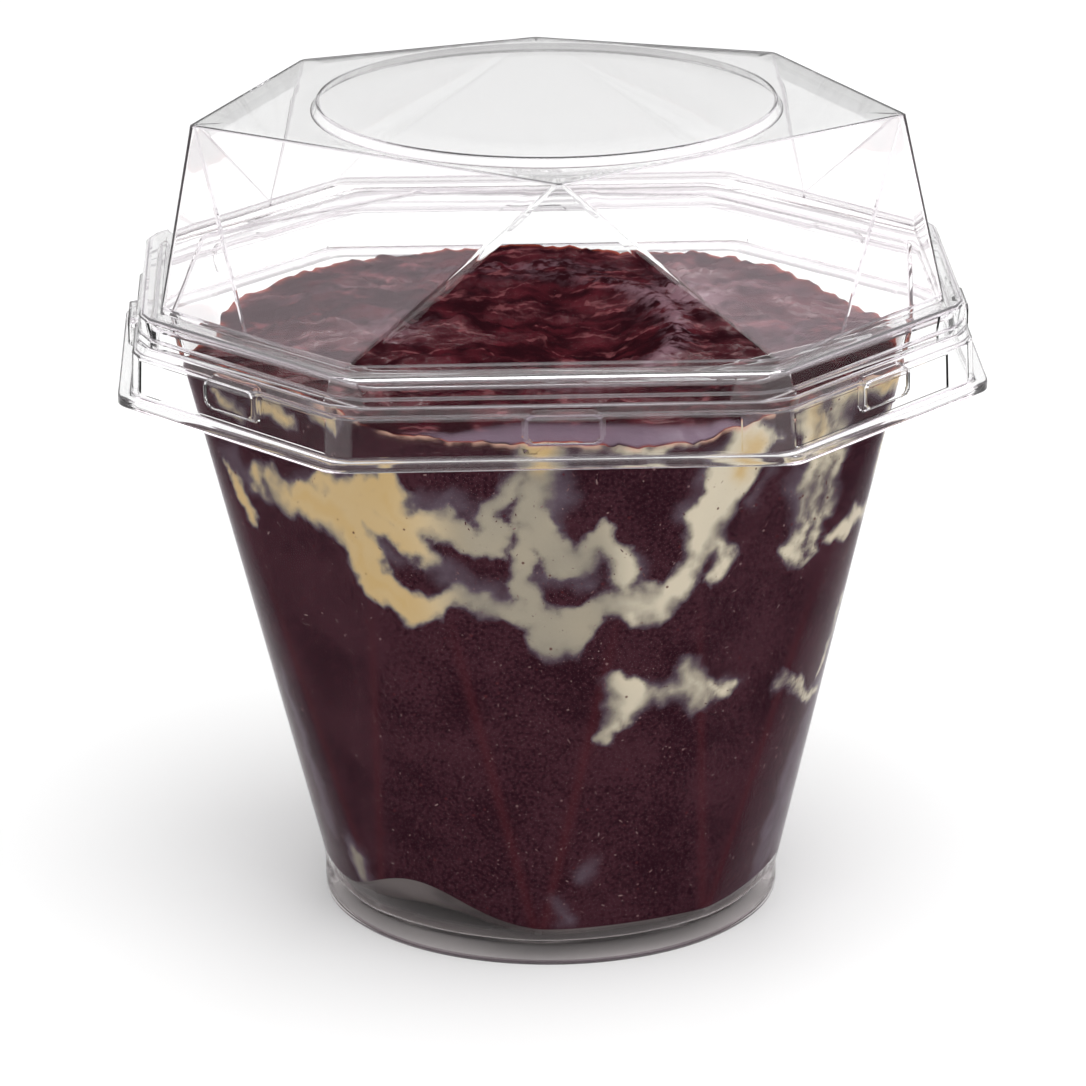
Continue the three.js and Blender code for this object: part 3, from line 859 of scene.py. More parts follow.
@dataclass
class Lid:
    """Clear faceted lid: brim, stepped skirt with clip lugs, ledge, dome with six-sided top, raised disc."""

    outline: Octagon = Octagon(23.5, 41.5, 46.0, 16.6, Flare(0.45, 0.8, 1.0))
    dome_outline: Octagon = Octagon(24.3, 41.5, 46.0, 16.6)
    wall: float = 0.3
    brim_reach: float = 2.6
    brim_low: float = 64.7
    brim_trim: float = 1.3
    brim_crease: float = 0.2
    brim_rows: int = 2
    levels: tuple[SkirtLevel, ...] = (
        SkirtLevel(1.05, 65.8, 1.3, 1.0, 0.2, 18),
        SkirtLevel(0.88, 70.45, 1.3, 1.0, 0.12),
        SkirtLevel(0.45, 70.7, 1.6, 0.4, 0.12, 3),
        SkirtLevel(0.4, 71.5, 2.1, 0.8, 0.08),
        SkirtLevel(0.2, 71.65, 2.2, 1.0, 0.08, 2),
        SkirtLevel(0.2, 72.5, 2.2, 1.0, 0.1),
        SkirtLevel(0.0, 72.7, 2.0, 1.0, 0.1, 3),
        SkirtLevel(0.0, 74.6, 1.3, 1.0, 0.15),
        SkirtLevel(-0.4, 74.9, 1.2, 1.0, 0.15, 2),
    )
    dome_inset: float = 2.5
    dome_trim: float = 0.45
    dome_crease: float = 0.15
    dome_rows: int = 6
    ledge_z: float = 74.9
    ledge_crease: float = 0.12
    dome_foot_z: float = 75.5
    top_z: float = 93.8
    top_crease: float = 0.2
    top_rows: int = 3
    top: tuple[tuple[float, float], ...] = ((0.0, -33.0), (40.0, -5.5), (27.6, 23.8), (0.0, 33.0))
    hip_front_right: float = 1.38
    hip_front_left: float = 1.54
    hip_back: float = 5.58
    hip_half: float = 0.007
    disc_radius: float = 26.0
    disc_foot_radius: float = 26.5
    disc_rise: float = 1.1
    disc_crease: float = 0.15
    disc_rows: int = 4
    lug_half_width: float = 4.25
    lug_half_height: float = 1.8
    lug_centre: float = 69.2
    lug_corner: float = 1.2
    lug_seat: float = 0.9
    lug_proud: float = 0.8
    lug_edge: float = 0.25
    lug_zone: float = 4.8
    fine_step: float = 0.24
    plain_bands: tuple[Span, ...] = ((66.1, 70.3), (71.7, 72.45), (72.75, 74.5))
    plain_slope: float = 0.03
    coarse_step: float = 3.5
    top_step: float = 3.2
    corner_steps: int = 4
    stations: Stations = field(init=False)
    top_ring: np.ndarray = field(init=False)

    def __post_init__(self) -> None:
        """Lays out the places round the ring and their targets on the six-sided top."""
        keys = self._facet_keys()
        key_places = np.array([key.place for key in keys])
        key_tops = np.array([self._hexagon_point(key.corner, key.offset) for key in keys])
        places = np.unique(np.concatenate([key_places, *self._plain_places()]).round(PLACE_DIGITS))
        tops = self._targets(places, key_places, key_tops)
        steps = np.linalg.norm(np.roll(tops, -1, axis=0) - tops, axis=1)
        gaps = np.roll(places, -1) - places
        gaps[-1] += RING
        extra = []
        for place, gap, step in zip(places, gaps, steps):
            count = int(step // self.top_step)
            extra += [(place + gap * k / (count + 1)) % RING for k in range(1, count + 1)]
        self.stations = Stations(np.sort(np.concatenate([places, extra])))
        self.top_ring = self._targets(self.stations.places, key_places, key_tops)

    def _facet_keys(self) -> list[FacetKey]:
        """Edges of the dome's facets, counterclockwise from the front right corner."""
        front, right, rear, back = range(4)

        def right_half(front_hip: float) -> list[FacetKey]:
            """The right half, with the place of its front hip."""
            rear_hip, half = self.hip_back, self.hip_half
            return [
                FacetKey(0, front, 0.2),
                FacetKey(1, front, 0.6),
                FacetKey(front_hip - half, right, -0.7),
                FacetKey(front_hip + half, right, -0.3),
                FacetKey(2, right, -0.15),
                FacetKey(3, right, -0.05),
                FacetKey(4, right, 0.0),
                FacetKey(5, right, 0.4),
                FacetKey(rear_hip - half, right, 0.9),
                FacetKey(rear_hip - half / 2, right, 1.4),
                FacetKey(rear_hip + half / 2, rear, -0.5),
                FacetKey(rear_hip + half, rear, 0.3),
                FacetKey(6, back, -0.6),
                FacetKey(7, back, -0.2),
            ]

        left = [key.mirrored() for key in right_half(self.hip_front_left)]
        return right_half(self.hip_front_right) + left[::-1]

    def _hexagon_point(self, corner: int, offset: float) -> np.ndarray:
        """Point on the edge of the top at an offset from a corner, counterclockwise if positive."""
        front, right, rear, back = self.top
        ring = np.array([front, right, rear, back, (-rear[0], rear[1]), (-right[0], right[1])])
        towards = ring[(corner + (1 if offset > 0 else -1)) % TOP_CORNERS] - ring[corner]
        return ring[corner] + towards * abs(offset) / np.linalg.norm(towards)

    def _plain_places(self) -> list[np.ndarray]:
        """Places on the corners, and along the sides: close together at the lugs."""
        found = []
        corners = self.outline.corners(self.lug_seat)
        lengths = np.linalg.norm(np.roll(corners, -1, axis=0) - corners, axis=1) - 2 * self.brim_trim
        for side, length in enumerate(lengths):
            found.append(2 * side + np.linspace(0.0, 1.0, self.corner_steps + 1))
            fine = np.arange(-self.lug_zone, self.lug_zone + TINY, self.fine_step)
            coarse = np.linspace(self.lug_zone, length / 2, int(length / 2 / self.coarse_step))[1:-1]
            along = np.concatenate([-coarse, fine, coarse])
            found.append(2 * side + SIDE_MIDDLE + along / length)
        return found

    @staticmethod
    def _targets(places: np.ndarray, keys: np.ndarray, tops: np.ndarray) -> np.ndarray:
        """Points of the top for any places, between those of the keys."""
        return np.column_stack([np.interp(places, keys, tops[:, axis], period=RING) for axis in range(2)])

    def _skirt_ring(self, reach: float, z: float, trim: float, flat: float = 0.0) -> np.ndarray:
        """Ring of the skirt at a reach and height."""
        return raised(self.stations.outline(self.outline.corners(reach), trim, flat), z)

    def _round(self, radius: float, z: float) -> np.ndarray:
        """Round ring with its points in the directions of the top's edge."""
        directions = self.top_ring / np.linalg.norm(self.top_ring, axis=1)[:, None]
        return raised(directions * radius, z)

    def _surface(self, inset: float) -> list[Key]:
        """Key rings from the skirt's foot up to the middle of the top, moved inwards by an inset."""
        keys = []
        for level in self.levels:
            top_facing = level.z >= self.ledge_z
            z = level.z - inset if top_facing else level.z
            ring = self._skirt_ring(level.reach - inset, z, level.trim, level.flat)
            keys.append(Key(ring, level.crease, level.rows))
        foot = self.stations.outline(self.dome_outline.corners(-self.dome_inset - inset), self.dome_trim)
        shrink = 1 + inset / self.top[0][1]
        disc_z = self.top_z + self.disc_rise - inset
        keys += [
            Key(raised(foot, self.ledge_z - inset), self.ledge_crease),
            Key(raised(foot, self.dome_foot_z), self.dome_crease, self.dome_rows),
            Key(raised(self.top_ring * shrink, self.top_z - inset), self.top_crease, self.top_rows),
            Key(self._round(self.disc_foot_radius - inset, self.top_z - inset), self.disc_crease),
            Key(self._round(self.disc_radius - inset, disc_z), self.disc_crease, self.disc_rows),
            Key(self._round(0.0, disc_z), 0.0),
        ]
        return keys

    def _with_lugs(self, rows: np.ndarray, inset: float) -> tuple[np.ndarray, np.ndarray]:
        """Pushes out a rounded block at the middle of each side of the skirt.

        Args:
            rows: points by row, place and axis.
            inset: how far the wall is moved inwards.

        Returns:
            The moved points, and for each face whether it is in the flat of the skirt's sides.
        """
        normals, offsets = self.outline.edges(0.0)
        index, on_side = self.stations.index, ~self.stations.on_corner
        target = offsets + self.lug_seat * self.outline.flare.factors() + self.lug_proud - inset
        normal = normals[index]
        tangent = np.column_stack([-normal[:, 1], normal[:, 0]])
        middles = self.outline.corners(self.lug_seat)
        middles = (middles + np.roll(middles, -1, axis=0)) / 2
        flat = rows[:, :, :2]
        along = ((flat - middles[index]) * tangent).sum(axis=2)
        across = np.abs(along) - (self.lug_half_width - self.lug_corner)
        upright = np.abs(rows[:, :, 2] - self.lug_centre) - (self.lug_half_height - self.lug_corner)
        outside = np.hypot(np.maximum(across, 0), np.maximum(upright, 0)) - self.lug_corner
        outside += np.minimum(np.maximum(across, upright), 0)
        mask = (1 - smoothstep(outside, -self.lug_edge, self.lug_edge / 2)) * on_side
        push = mask * np.maximum(target[index] - (flat * normal).sum(axis=2), 0)
        moved = rows.copy()
        moved[:, :, :2] += push[:, :, None] * normal
        sloped = mask * (1 - mask) > self.plain_slope
        height = rows[:, :, 2]
        level = np.any([(height > low) & (height < high) for low, high in self.plain_bands], axis=0)
        plain = level & on_side & ~sloped
        plain &= np.roll(plain, -1, axis=1)
        return moved, plain

    def _facet_edges(self, rows: np.ndarray) -> tuple[np.ndarray, np.ndarray]:
        """Which faces are on an edge up a side of the dome, and which on the narrow facet in a rear edge."""
        rear = [self.hip_back, RING - 1 - self.hip_back]
        hips = [self.hip_front_right, RING - 1 - self.hip_front_left, *rear]
        places = self.stations.places
        middles = (places + np.append(places[1:], places[0] + RING)) / 2
        on_hip = np.abs(middles[:, None] - hips).min(axis=1) < self.hip_half
        behind = np.abs(middles[:, None] - rear).min(axis=1) < self.hip_half / 2
        height = rows[:, :, 2]
        on_dome = (height >= self.dome_foot_z - self.wall) & (height < self.top_z - 2 * self.wall)
        return on_hip & ~behind & on_dome, behind & on_dome

    def build(self, finishes: Sequence[bpy.types.Material]) -> bpy.types.Object:
        """Makes the lid as one thin closed shell.

        Args:
            finishes: that of the lid, a faint one for its flat bands, and that of its rounds and edges,
                greyed as painted shade.

        Returns:
            The object.
        """
        lip = self.levels[0].reach - self.wall
        brim = [
            Key(self._skirt_ring(lip, self.brim_low, self.brim_trim), 0.0, self.brim_rows),
            Key(self._skirt_ring(self.brim_reach, self.brim_low, self.brim_trim), self.brim_crease),
            Key(
                self._skirt_ring(self.brim_reach, self.levels[0].z, self.brim_trim),
                self.brim_crease,
                self.brim_rows,
            ),
        ]
        outside, outer_rounds = lofted(brim + self._surface(0.0))
        inside, inner_rounds = lofted([brim[0], *self._surface(self.wall)])
        outside, outer_plain = self._with_lugs(outside, 0.0)
        inside, inner_plain = self._with_lugs(inside, self.wall)
        rows = np.concatenate([outside, inside[::-1]])
        flat = np.concatenate([outer_plain, inner_plain[::-1]])
        rounds = np.concatenate([outer_rounds, np.roll(inner_rounds[::-1], -1)])[:-1]
        hips, rear_facets = self._facet_edges(rows)
        flats = (flat[:-1] & flat[1:]) | rear_facets[:-1]
        which = np.where(flats, LidFinish.FAINT, LidFinish.PLAIN)
        which[rounds[:, None] | hips[:-1]] = LidFinish.EDGE
        faces = grid_faces(len(rows), rows.shape[1])
        piece = make_piece("lid_clear", rows.reshape(-1, 3), faces, finishes, which.ravel(), weld=True)
        return settle(piece, Slot.LID, "lid")


# Cup


@dataclass
class Cup:
    """Clear cup: round base on a foot ring, eight-sided wall that grows out of it, and a rolled rim."""

    wall_outline: Octagon = Octagon(17.2, 37.2, 41.2, 16.6, turn=-5.4)
    rim_outline: Octagon = Octagon(20.5, 38.2, 42.6, 15.6)
    trim: float = 1.33
    base_radius: float = 26.5
    base_edge: float = 0.5
    band_z: float = 3.2
    foot_width: float = 1.6
    foot_shade_height: float = 0.75
    underside_z: float = 1.9
    floor_z: float = 2.7
    start_z: float = 4.2
    start_radius: float = 26.8
    start_hollow: float = 0.8
    wall_top_z: float = 72.6
    rim_z: float = 74.0
    wall: float = 0.7
    rim_reach: float = 2.1
    rim_low: float = 70.75
    margin: float = 0.8
    underside_crease: float = 0.3
    foot_inner_crease: float = 0.25
    foot_crease: float = 0.2
    band_crease: float = 0.4
    start_crease: float = 0.45
    under_rim_crease: float = 0.1
    rim_inner_crease: float = 0.15
    rim_low_crease: float = 0.2
    rim_crease: float = 0.3
    floor_crease: float = 0.3
    corner_steps: int = 16
    side_steps: int = 6
    underside_rows: int = 3
    band_rows: int = 2
    wall_rows: int = 24
    floor_rows: int = 4
    stations: Stations = field(init=False)

    def __post_init__(self) -> None:
        """Lays out the places round the ring."""
        corner = np.linspace(0.0, 1.0, self.corner_steps, endpoint=False)
        side = 1 + np.linspace(0.0, 1.0, self.side_steps, endpoint=False)
        places = [2 * i + part for i in range(SIDES) for part in (corner, side)]
        self.stations = Stations(np.concatenate(places))

    def base_ring(self, radius: float, z: float, hollow: float = 0.0) -> np.ndarray:
        """Round ring whose corner stretches fill all but a narrow margin; hollow draws their middles in."""
        facet = FULL_TURN / SIDES
        share, index, on_corner = self.stations.share, self.stations.index, self.stations.on_corner
        on_round = self.margin + share * (facet - 2 * self.margin)
        between = facet - self.margin + share * 2 * self.margin
        within = np.where(on_corner, on_round, between)
        angle = np.radians(self.wall_outline.turn - FULL_TURN / 4 + index * facet + within)
        reach = radius - np.where(on_corner, hollow * np.sin(np.pi * share), 0.0)
        return raised(np.column_stack([reach * np.cos(angle), reach * np.sin(angle)]), z)

    def rise(self, z: np.ndarray | float) -> np.ndarray | float:
        """Share of the way from the lowest to the highest ring of the wall."""
        return (z - self.start_z) / (self.wall_top_z - self.start_z)

    def wall_ends(self, inset: float) -> tuple[np.ndarray, np.ndarray]:
        """Lowest and highest ring of the faceted wall, moved inwards by an inset."""
        low = self.base_ring(self.start_radius - inset, self.start_z, self.start_hollow)
        outline = self.stations.outline(self.wall_outline.corners(-inset), self.trim)
        return low, raised(outline, self.wall_top_z)

    def wall_ring(self, inset: float, z: float) -> np.ndarray:
        """Ring of the faceted wall at a height."""
        low, high = self.wall_ends(inset)
        return blend(low, high, self.rise(z))

    def rim_ring(self, reach: float, z: float) -> np.ndarray:
        """Ring of the rolled rim."""
        return raised(self.stations.outline(self.rim_outline.corners(reach), self.trim), z)

    def radius(self, inset: float, angle: np.ndarray, z: np.ndarray) -> np.ndarray:
        """Distance of the wall from the axis.

        Args:
            inset: how far the wall is moved inwards.
            angle: directions in degrees from the front.
            z: a height for each direction.

        Returns:
            A distance for each direction.
        """
        low, high = self.wall_ends(inset)
        share = self.rise(z)[:, None]
        x, y = (blend(low[None, :, axis], high[None, :, axis], share) for axis in range(2))
        dx, dy = np.sin(np.radians(angle))[:, None], -np.cos(np.radians(angle))[:, None]
        side = dx * y - dy * x
        ahead = (dx * x + dy * y) > 0
        crossing = (side <= 0) & (np.roll(side, -1, axis=1) > 0) & ahead
        first = crossing.argmax(axis=1)
        pick = np.arange(len(angle))
        second = (first + 1) % x.shape[1]
        a, b = side[pick, first], side[pick, second]
        part = a / (a - b)
        px, py = blend(x[pick, first], x[pick, second], part), blend(y[pick, first], y[pick, second], part)
        return np.hypot(px, py)

    def crease_angles(self, z: np.ndarray) -> np.ndarray:
        """Directions of the wall's creases at each height, in degrees from the front."""
        low, high = self.wall_ends(self.wall)
        at_crease = self.stations.share == 0
        share = self.rise(z)[:, None]
        x, y = (blend(low[None, at_crease, axis], high[None, at_crease, axis], share) for axis in range(2))
        return np.degrees(np.arctan2(x, -y))

    def _keys(self) -> list[Key]:
        """Key rings from the middle of the underside, round the foot and rim, to the middle of the floor."""
        edge, inner = self.base_edge, self.base_radius - self.wall
        foot_inner = self.base_radius - self.foot_width
        under_rim, lip = self.rim_z - self.wall, self.rim_reach - self.wall
        centre = np.zeros((len(self.stations.places), 3))
        return [
            Key(centre + (0, 0, self.underside_z), 0.0, self.underside_rows),
            Key(self.base_ring(foot_inner - edge, self.underside_z), self.underside_crease),
            Key(self.base_ring(foot_inner, 0.0), self.foot_inner_crease),
            Key(self.base_ring(self.base_radius - edge, 0.0), self.foot_crease),
            Key(self.base_ring(self.base_radius, edge), self.foot_crease, self.band_rows),
            Key(self.base_ring(self.base_radius, self.band_z), self.band_crease),
            Key(self.wall_ring(0.0, self.start_z), self.start_crease, self.wall_rows),
            Key(self.wall_ring(0.0, under_rim), self.under_rim_crease),
            Key(self.rim_ring(lip, under_rim), self.rim_inner_crease),
            Key(self.rim_ring(lip, self.rim_low), self.rim_inner_crease),
            Key(self.rim_ring(self.rim_reach, self.rim_low + edge), self.rim_low_crease),
            Key(self.rim_ring(self.rim_reach, self.rim_z - edge), self.rim_crease),
            Key(self.rim_ring(self.rim_reach - edge, self.rim_z), self.rim_crease),
            Key(self.wall_ring(self.wall, self.rim_z), self.rim_crease, self.wall_rows),
            Key(self.wall_ring(self.wall, self.start_z), self.band_crease),
            Key(self.base_ring(inner, self.band_z), self.band_crease),
            Key(self.base_ring(inner - edge, self.floor_z), self.floor_crease, self.floor_rows),
            Key(centre + (0, 0, self.floor_z), 0.0),
        ]

    def build(self, finishes: Sequence[bpy.types.Material]) -> bpy.types.Object:
        """Makes the cup as one closed thin wall.

        Args:
            finishes: those of the facets, of the base, grey in part as painted shade, of the rounds of the
                rim and of the foot's edge, darkened as painted shade.

        Returns:
            The object.
        """
        rows, rounds = lofted(self._keys())
        faces = grid_faces(len(rows), rows.shape[1])
        middle = rows[:, :, 2].ravel()[faces].mean(axis=1)
        on_rim = np.repeat(rounds[:-1], rows.shape[1]) & (middle > self.rim_low - self.wall)
        which = np.where(middle < self.start_z, CupFinish.BASE, CupFinish.WALL)
        which[on_rim] = CupFinish.RIM
        # Faces at the very bottom take the dark foot finish, a painted shade line.
        which[middle < self.foot_shade_height] = CupFinish.FOOT_SHADE
        piece = make_piece("cup_clear", rows.reshape(-1, 3), faces, finishes, which, weld=True)
        return settle(piece, Slot.CUP, "cup")


# Contents


@dataclass(frozen=True)
class Warp:
    """One wave that bends the strokes: its height, length and phase, and how much it is bent itself."""

    height: float
    length: float
    phase: float
    bend_across: float = 0.6
    bend_up: float = 0.7

    def shifts(self, across: np.ndarray, z: np.ndarray) -> tuple[np.ndarray, np.ndarray]:
        """How far it moves places on the wall, along the wall and up."""
        turn = 2 * math.pi / self.length
        along = np.sin(turn * z + self.phase + np.sin(turn * across * self.bend_across))
        up = np.sin(turn * across + 2 * self.phase + np.sin(turn * z * self.bend_up + self.phase))
        return self.height * along, self.height * up


@dataclass(frozen=True)
class Streaks:
    """Strokes of cream on the wall, each a run of (angle, height, half width), by their CAD node."""

    groups: dict[str, tuple[Stroke, ...]]
    wisps: tuple[Stroke, ...]
    hazes_and_reflections: tuple[Stroke, ...]
    thick: tuple[Stroke, ...]
    thin_angle: float = -6.0
    thin_half: float = 12.0
    milky_from: float = 22.0
    thin_milk: float = 0.35
    left_warmth: float = 0.8
    warm_from: Span = (-130.0, -100.0)
    warm_to: Span = (-30.0, -14.0)
    cool_below: Span = (12.0, 24.0)
    thick_edge: Span = (-1.5, 2.0)
    haze_edge: Span = (-1.2, 1.0)
    softness: float = 0.25
    farthest: float = 40.0
    warps: tuple[Warp, ...] = (Warp(0.45, 9.0, 0.4), Warp(0.3, 4.1, 1.9), Warp(0.16, 1.9, 4.0))

    def warped(self, angle: np.ndarray, z: np.ndarray, radius: np.ndarray) -> tuple[np.ndarray, np.ndarray]:
        """The place on the wall moved a little to and fro, so that no stroke keeps a plain outline."""
        across = np.radians(angle) * radius
        shifts = [warp.shifts(across, z) for warp in self.warps]
        shift_x, shift_z = (sum(parts) for parts in zip(*shifts))
        return angle + np.degrees(shift_x / radius), z + shift_z

    def distance(
        self, strokes: Sequence[Stroke], angle: np.ndarray, z: np.ndarray, radius: np.ndarray
    ) -> np.ndarray:
        """Distance to the outline of the strokes, negative inside them.

        Args:
            strokes: the runs to measure to.
            angle: places on the wall, in degrees from the front.
            z: their heights.
            radius: their distances from the axis.

        Returns:
            Distances in millimetres.
        """
        angle, z = self.warped(angle, z, radius)
        near = np.full_like(z, np.exp(-self.farthest))
        for stroke in strokes:
            for (angle_a, za, half_a), (angle_b, zb, half_b) in pairwise(stroke):
                ax, az = np.radians(turned(angle_a, angle)) * radius, za - z
                ex, ez = np.radians(angle_b - angle_a) * radius, zb - za
                share = np.clip(-(ax * ex + az * ez) / (ex * ex + ez * ez), 0.0, 1.0)
                gap = np.hypot(ax + share * ex, az + share * ez) - blend(half_a, half_b, share)
                near += np.exp(-np.minimum(gap / self.softness, self.farthest))
        return -self.softness * np.log(near)

    def looks(self, angle: np.ndarray, z: np.ndarray, radius: np.ndarray) -> dict[str, np.ndarray]:
        """Values of places on the wall for the finish: distance to the cream, hazes and painted reflections,
        milkiness and warmth.

        Args:
            angle: places on the wall, in degrees from the front.
            z: their heights.
            radius: their distances from the axis.

        Returns:
            The values by name.
        """
        strokes = [*sum(self.groups.values(), ()), *self.wisps]
        angle = turned(angle, 0.0)
        away = np.abs(angle - self.thin_angle)
        milk = blend(self.thin_milk, 1.0, smoothstep(away, self.thin_half, self.milky_from))
        thick = 1 - smoothstep(self.distance(self.thick, angle, z, radius), *self.thick_edge)
        left = smoothstep(angle, *self.warm_from) * (1 - smoothstep(angle, *self.warm_to))
        high = smoothstep(z, *self.cool_below)
        return {
            "cream": self.distance(strokes, angle, z, radius),
            "haze_and_reflection": 1 - smoothstep(self.distance(self.hazes_and_reflections, angle, z, radius), *self.haze_edge),
            "milk": milk * high,
            "warmth": np.maximum(thick, self.left_warmth * left) * high,
        }


FRONT_STREAKS: dict[str, tuple[Stroke, ...]] = {
    "cream_band": (
        ((-68, 56, 0.6), (-67, 53, 0.7), (-66.5, 51, 0.4)),
        ((-62.5, 57, 0.6), (-62, 55.5, 0.7), (-61.5, 54, 0.4)),
        ((-59, 56.5, 1.0), (-56, 55, 1.6), (-51.5, 55, 2.2), (-44.5, 55, 2.7), (-40, 54.5, 2.4)),
        ((-40, 54.5, 2.4), (-38.5, 51.5, 2.2), (-36.5, 48.5, 2.0), (-33, 46.5, 1.9), (-28.5, 45, 1.5)),
        ((-28.5, 45, 1.5), (-24, 45.5, 1.2)),
        ((-46.5, 58, 1.0), (-40, 58, 1.5), (-33.5, 60, 1.0)),
        ((-43, 56.5, 1.5), (-36, 57, 1.9), (-31, 57.5, 1.5)),
        ((-37, 55, 1.2), (-33, 55, 1.3), (-29, 54.5, 1.0)),
        ((-30.5, 61, 0.8), (-30.5, 58, 2.1), (-28.5, 56, 2.1), (-27.5, 53.5, 1.3), (-25, 51.5, 0.8)),
        ((-27, 56, 1.6), (-22, 55.5, 1.3), (-17, 54, 1.2), (-13, 53.5, 1.2), (-11, 55, 0.8)),
        ((-2.5, 65, 2.3), (-4.5, 62, 1.6), (-5.5, 59.5, 1.2), (-4.5, 57, 1.4), (-3, 54, 1.6), (0, 51.5, 1.8)),
        ((0, 51.5, 1.8), (4.5, 52, 1.0), (7.5, 54, 1.0), (10, 52, 1.0), (11.5, 49, 1.0), (12.5, 47, 0.8)),
        ((-8, 61.5, 0.7), (-10.5, 59.5, 0.5), (-13, 57, 0.7), (-12.5, 55, 0.8)),
        ((-7, 54, 1.0), (-7.5, 51, 0.8), (-7, 48, 0.8), (-4.5, 46, 0.8)),
        ((-24, 45.5, 0.9), (-19, 46.5, 0.7), (-13.5, 46, 0.7), (-9.5, 45, 0.9), (-6, 43.5, 1.3)),
        ((-6, 45, 1.0), (-3, 43, 1.9), (1.5, 43, 1.8), (5.5, 45, 1.2), (10, 46, 1.0), (14.5, 45.5, 1.5)),
        ((14.5, 45.5, 1.5), (18.5, 46.5, 1.9), (23, 48, 1.4)),
        ((-6, 42, 0.6), (-2.5, 41, 1.0), (1.5, 41, 0.8)),
        ((23, 48, 0.9), (23.5, 50.5, 0.9), (25.5, 53, 1.6), (26.5, 55.5, 2.4), (28.5, 58, 2.9)),
        ((28.5, 58, 2.9), (31, 61, 3.1), (33.5, 63.5, 3.0)),
        ((28.5, 53.5, 0.7), (31, 50, 0.7), (29, 47.5, 0.4)),
        ((32.5, 62.5, 1.5), (36.5, 63.5, 1.0), (39.5, 64, 0.5)),
    ),
    "cream_right": (
        ((46.5, 67, 1.3), (47, 63.5, 0.8), (48.5, 58, 0.45), (48.5, 53.5, 0.4), (49, 48, 0.3)),
        ((50, 64, 0.7), (51, 58, 0.4), (51.5, 52, 0.3), (52, 47, 0.2)),
        ((53, 62.5, 0.6), (54, 57.5, 0.3), (54.5, 53, 0.3)),
        ((47, 50, 0.7), (48.5, 48, 0.4)),
    ),
    "cream_side_right": (
        ((55, 49.5, 0.4), (60, 50, 0.9), (69, 50, 1.0)),
        ((65, 63, 0.7), (67, 59, 0.6), (68, 55, 0.5)),
        ((71, 39, 0.5), (70, 34, 0.5), (69, 30, 0.4)),
    ),
    "cream_low": (
        ((12.5, 35.5, 1.5), (13.5, 34, 1.8), (12.5, 32.5, 1.3)),
        ((14.5, 35, 0.8), (17.5, 35, 0.4), (21.5, 34.5, 0.3), (25.5, 34.5, 1.0)),
        ((26, 37, 0.5), (27, 35, 1.5), (28.5, 33, 1.5)),
        ((30.5, 34, 0.7), (35, 33.5, 0.3), (37.5, 33.5, 0.2)),
        ((9.5, 29, 0.7), (9.5, 30, 0.6), (11, 31.5, 0.3)),
    ),
}

BACK_STREAKS: dict[str, tuple[Stroke, ...]] = {
    "cream_back": (
        ((108, 61, 1.1), (120, 57, 1.8), (133, 51, 2.1), (148, 47, 1.5), (162, 49, 1.7), (176, 46, 2.0)),
        ((176, 46, 2.0), (190, 44, 1.3), (205, 48, 1.6), (219, 54, 1.7), (232, 60, 1.2)),
        ((162, 49, 1.5), (159, 57, 1.7), (155, 68, 2.3)),
    ),
    "cream_back_low": (((203, 32, 0.9), (212, 35, 1.2), (222, 33, 0.9), (228, 36, 0.7)),),
}

WISPS: tuple[Stroke, ...] = (
    ((-58, 66, 0.8), (-52.5, 65.5, 0.7), (-50, 64.5, 0.4)),
    ((-66, 65, 0.8), (-63, 64, 0.5)),
    ((-45, 67, 0.5), (-41, 66, 0.7)),
    ((6, 65, 0.6), (14, 65, 0.5), (23, 65.5, 0.3)),
    ((50.5, 32.5, 0.3), (60.5, 29, 0.3), (70, 27, 0.3)),
    ((50, 67.5, 0.9), (57, 67, 0.8), (65, 67, 0.8), (74, 66.5, 0.6)),
    ((72, 66, 0.7), (73, 62, 0.8), (73.5, 58, 0.6), (74, 54, 0.3)),
    ((52.5, 66, 0.9), (53.5, 62, 0.6)),
    ((-56, 9.6, 0.9), (-55, 7.8, 0.8)),
    ((133, 51, 0.9), (128, 45, 0.6), (124, 41, 0.3)),
    ((176, 46, 1.2), (180, 52, 0.9), (186, 56, 0.5)),
    ((205, 48, 1.0), (209, 42, 0.7), (216, 40, 0.4)),
    ((96, 44, 0.4), (103, 40, 0.6), (108, 33, 0.3)),
    ((228, 61, 0.8), (240, 63, 1.0), (252, 60, 0.5)),
    ((262, 52, 0.5), (268, 47, 0.8), (272, 44, 0.3)),
)

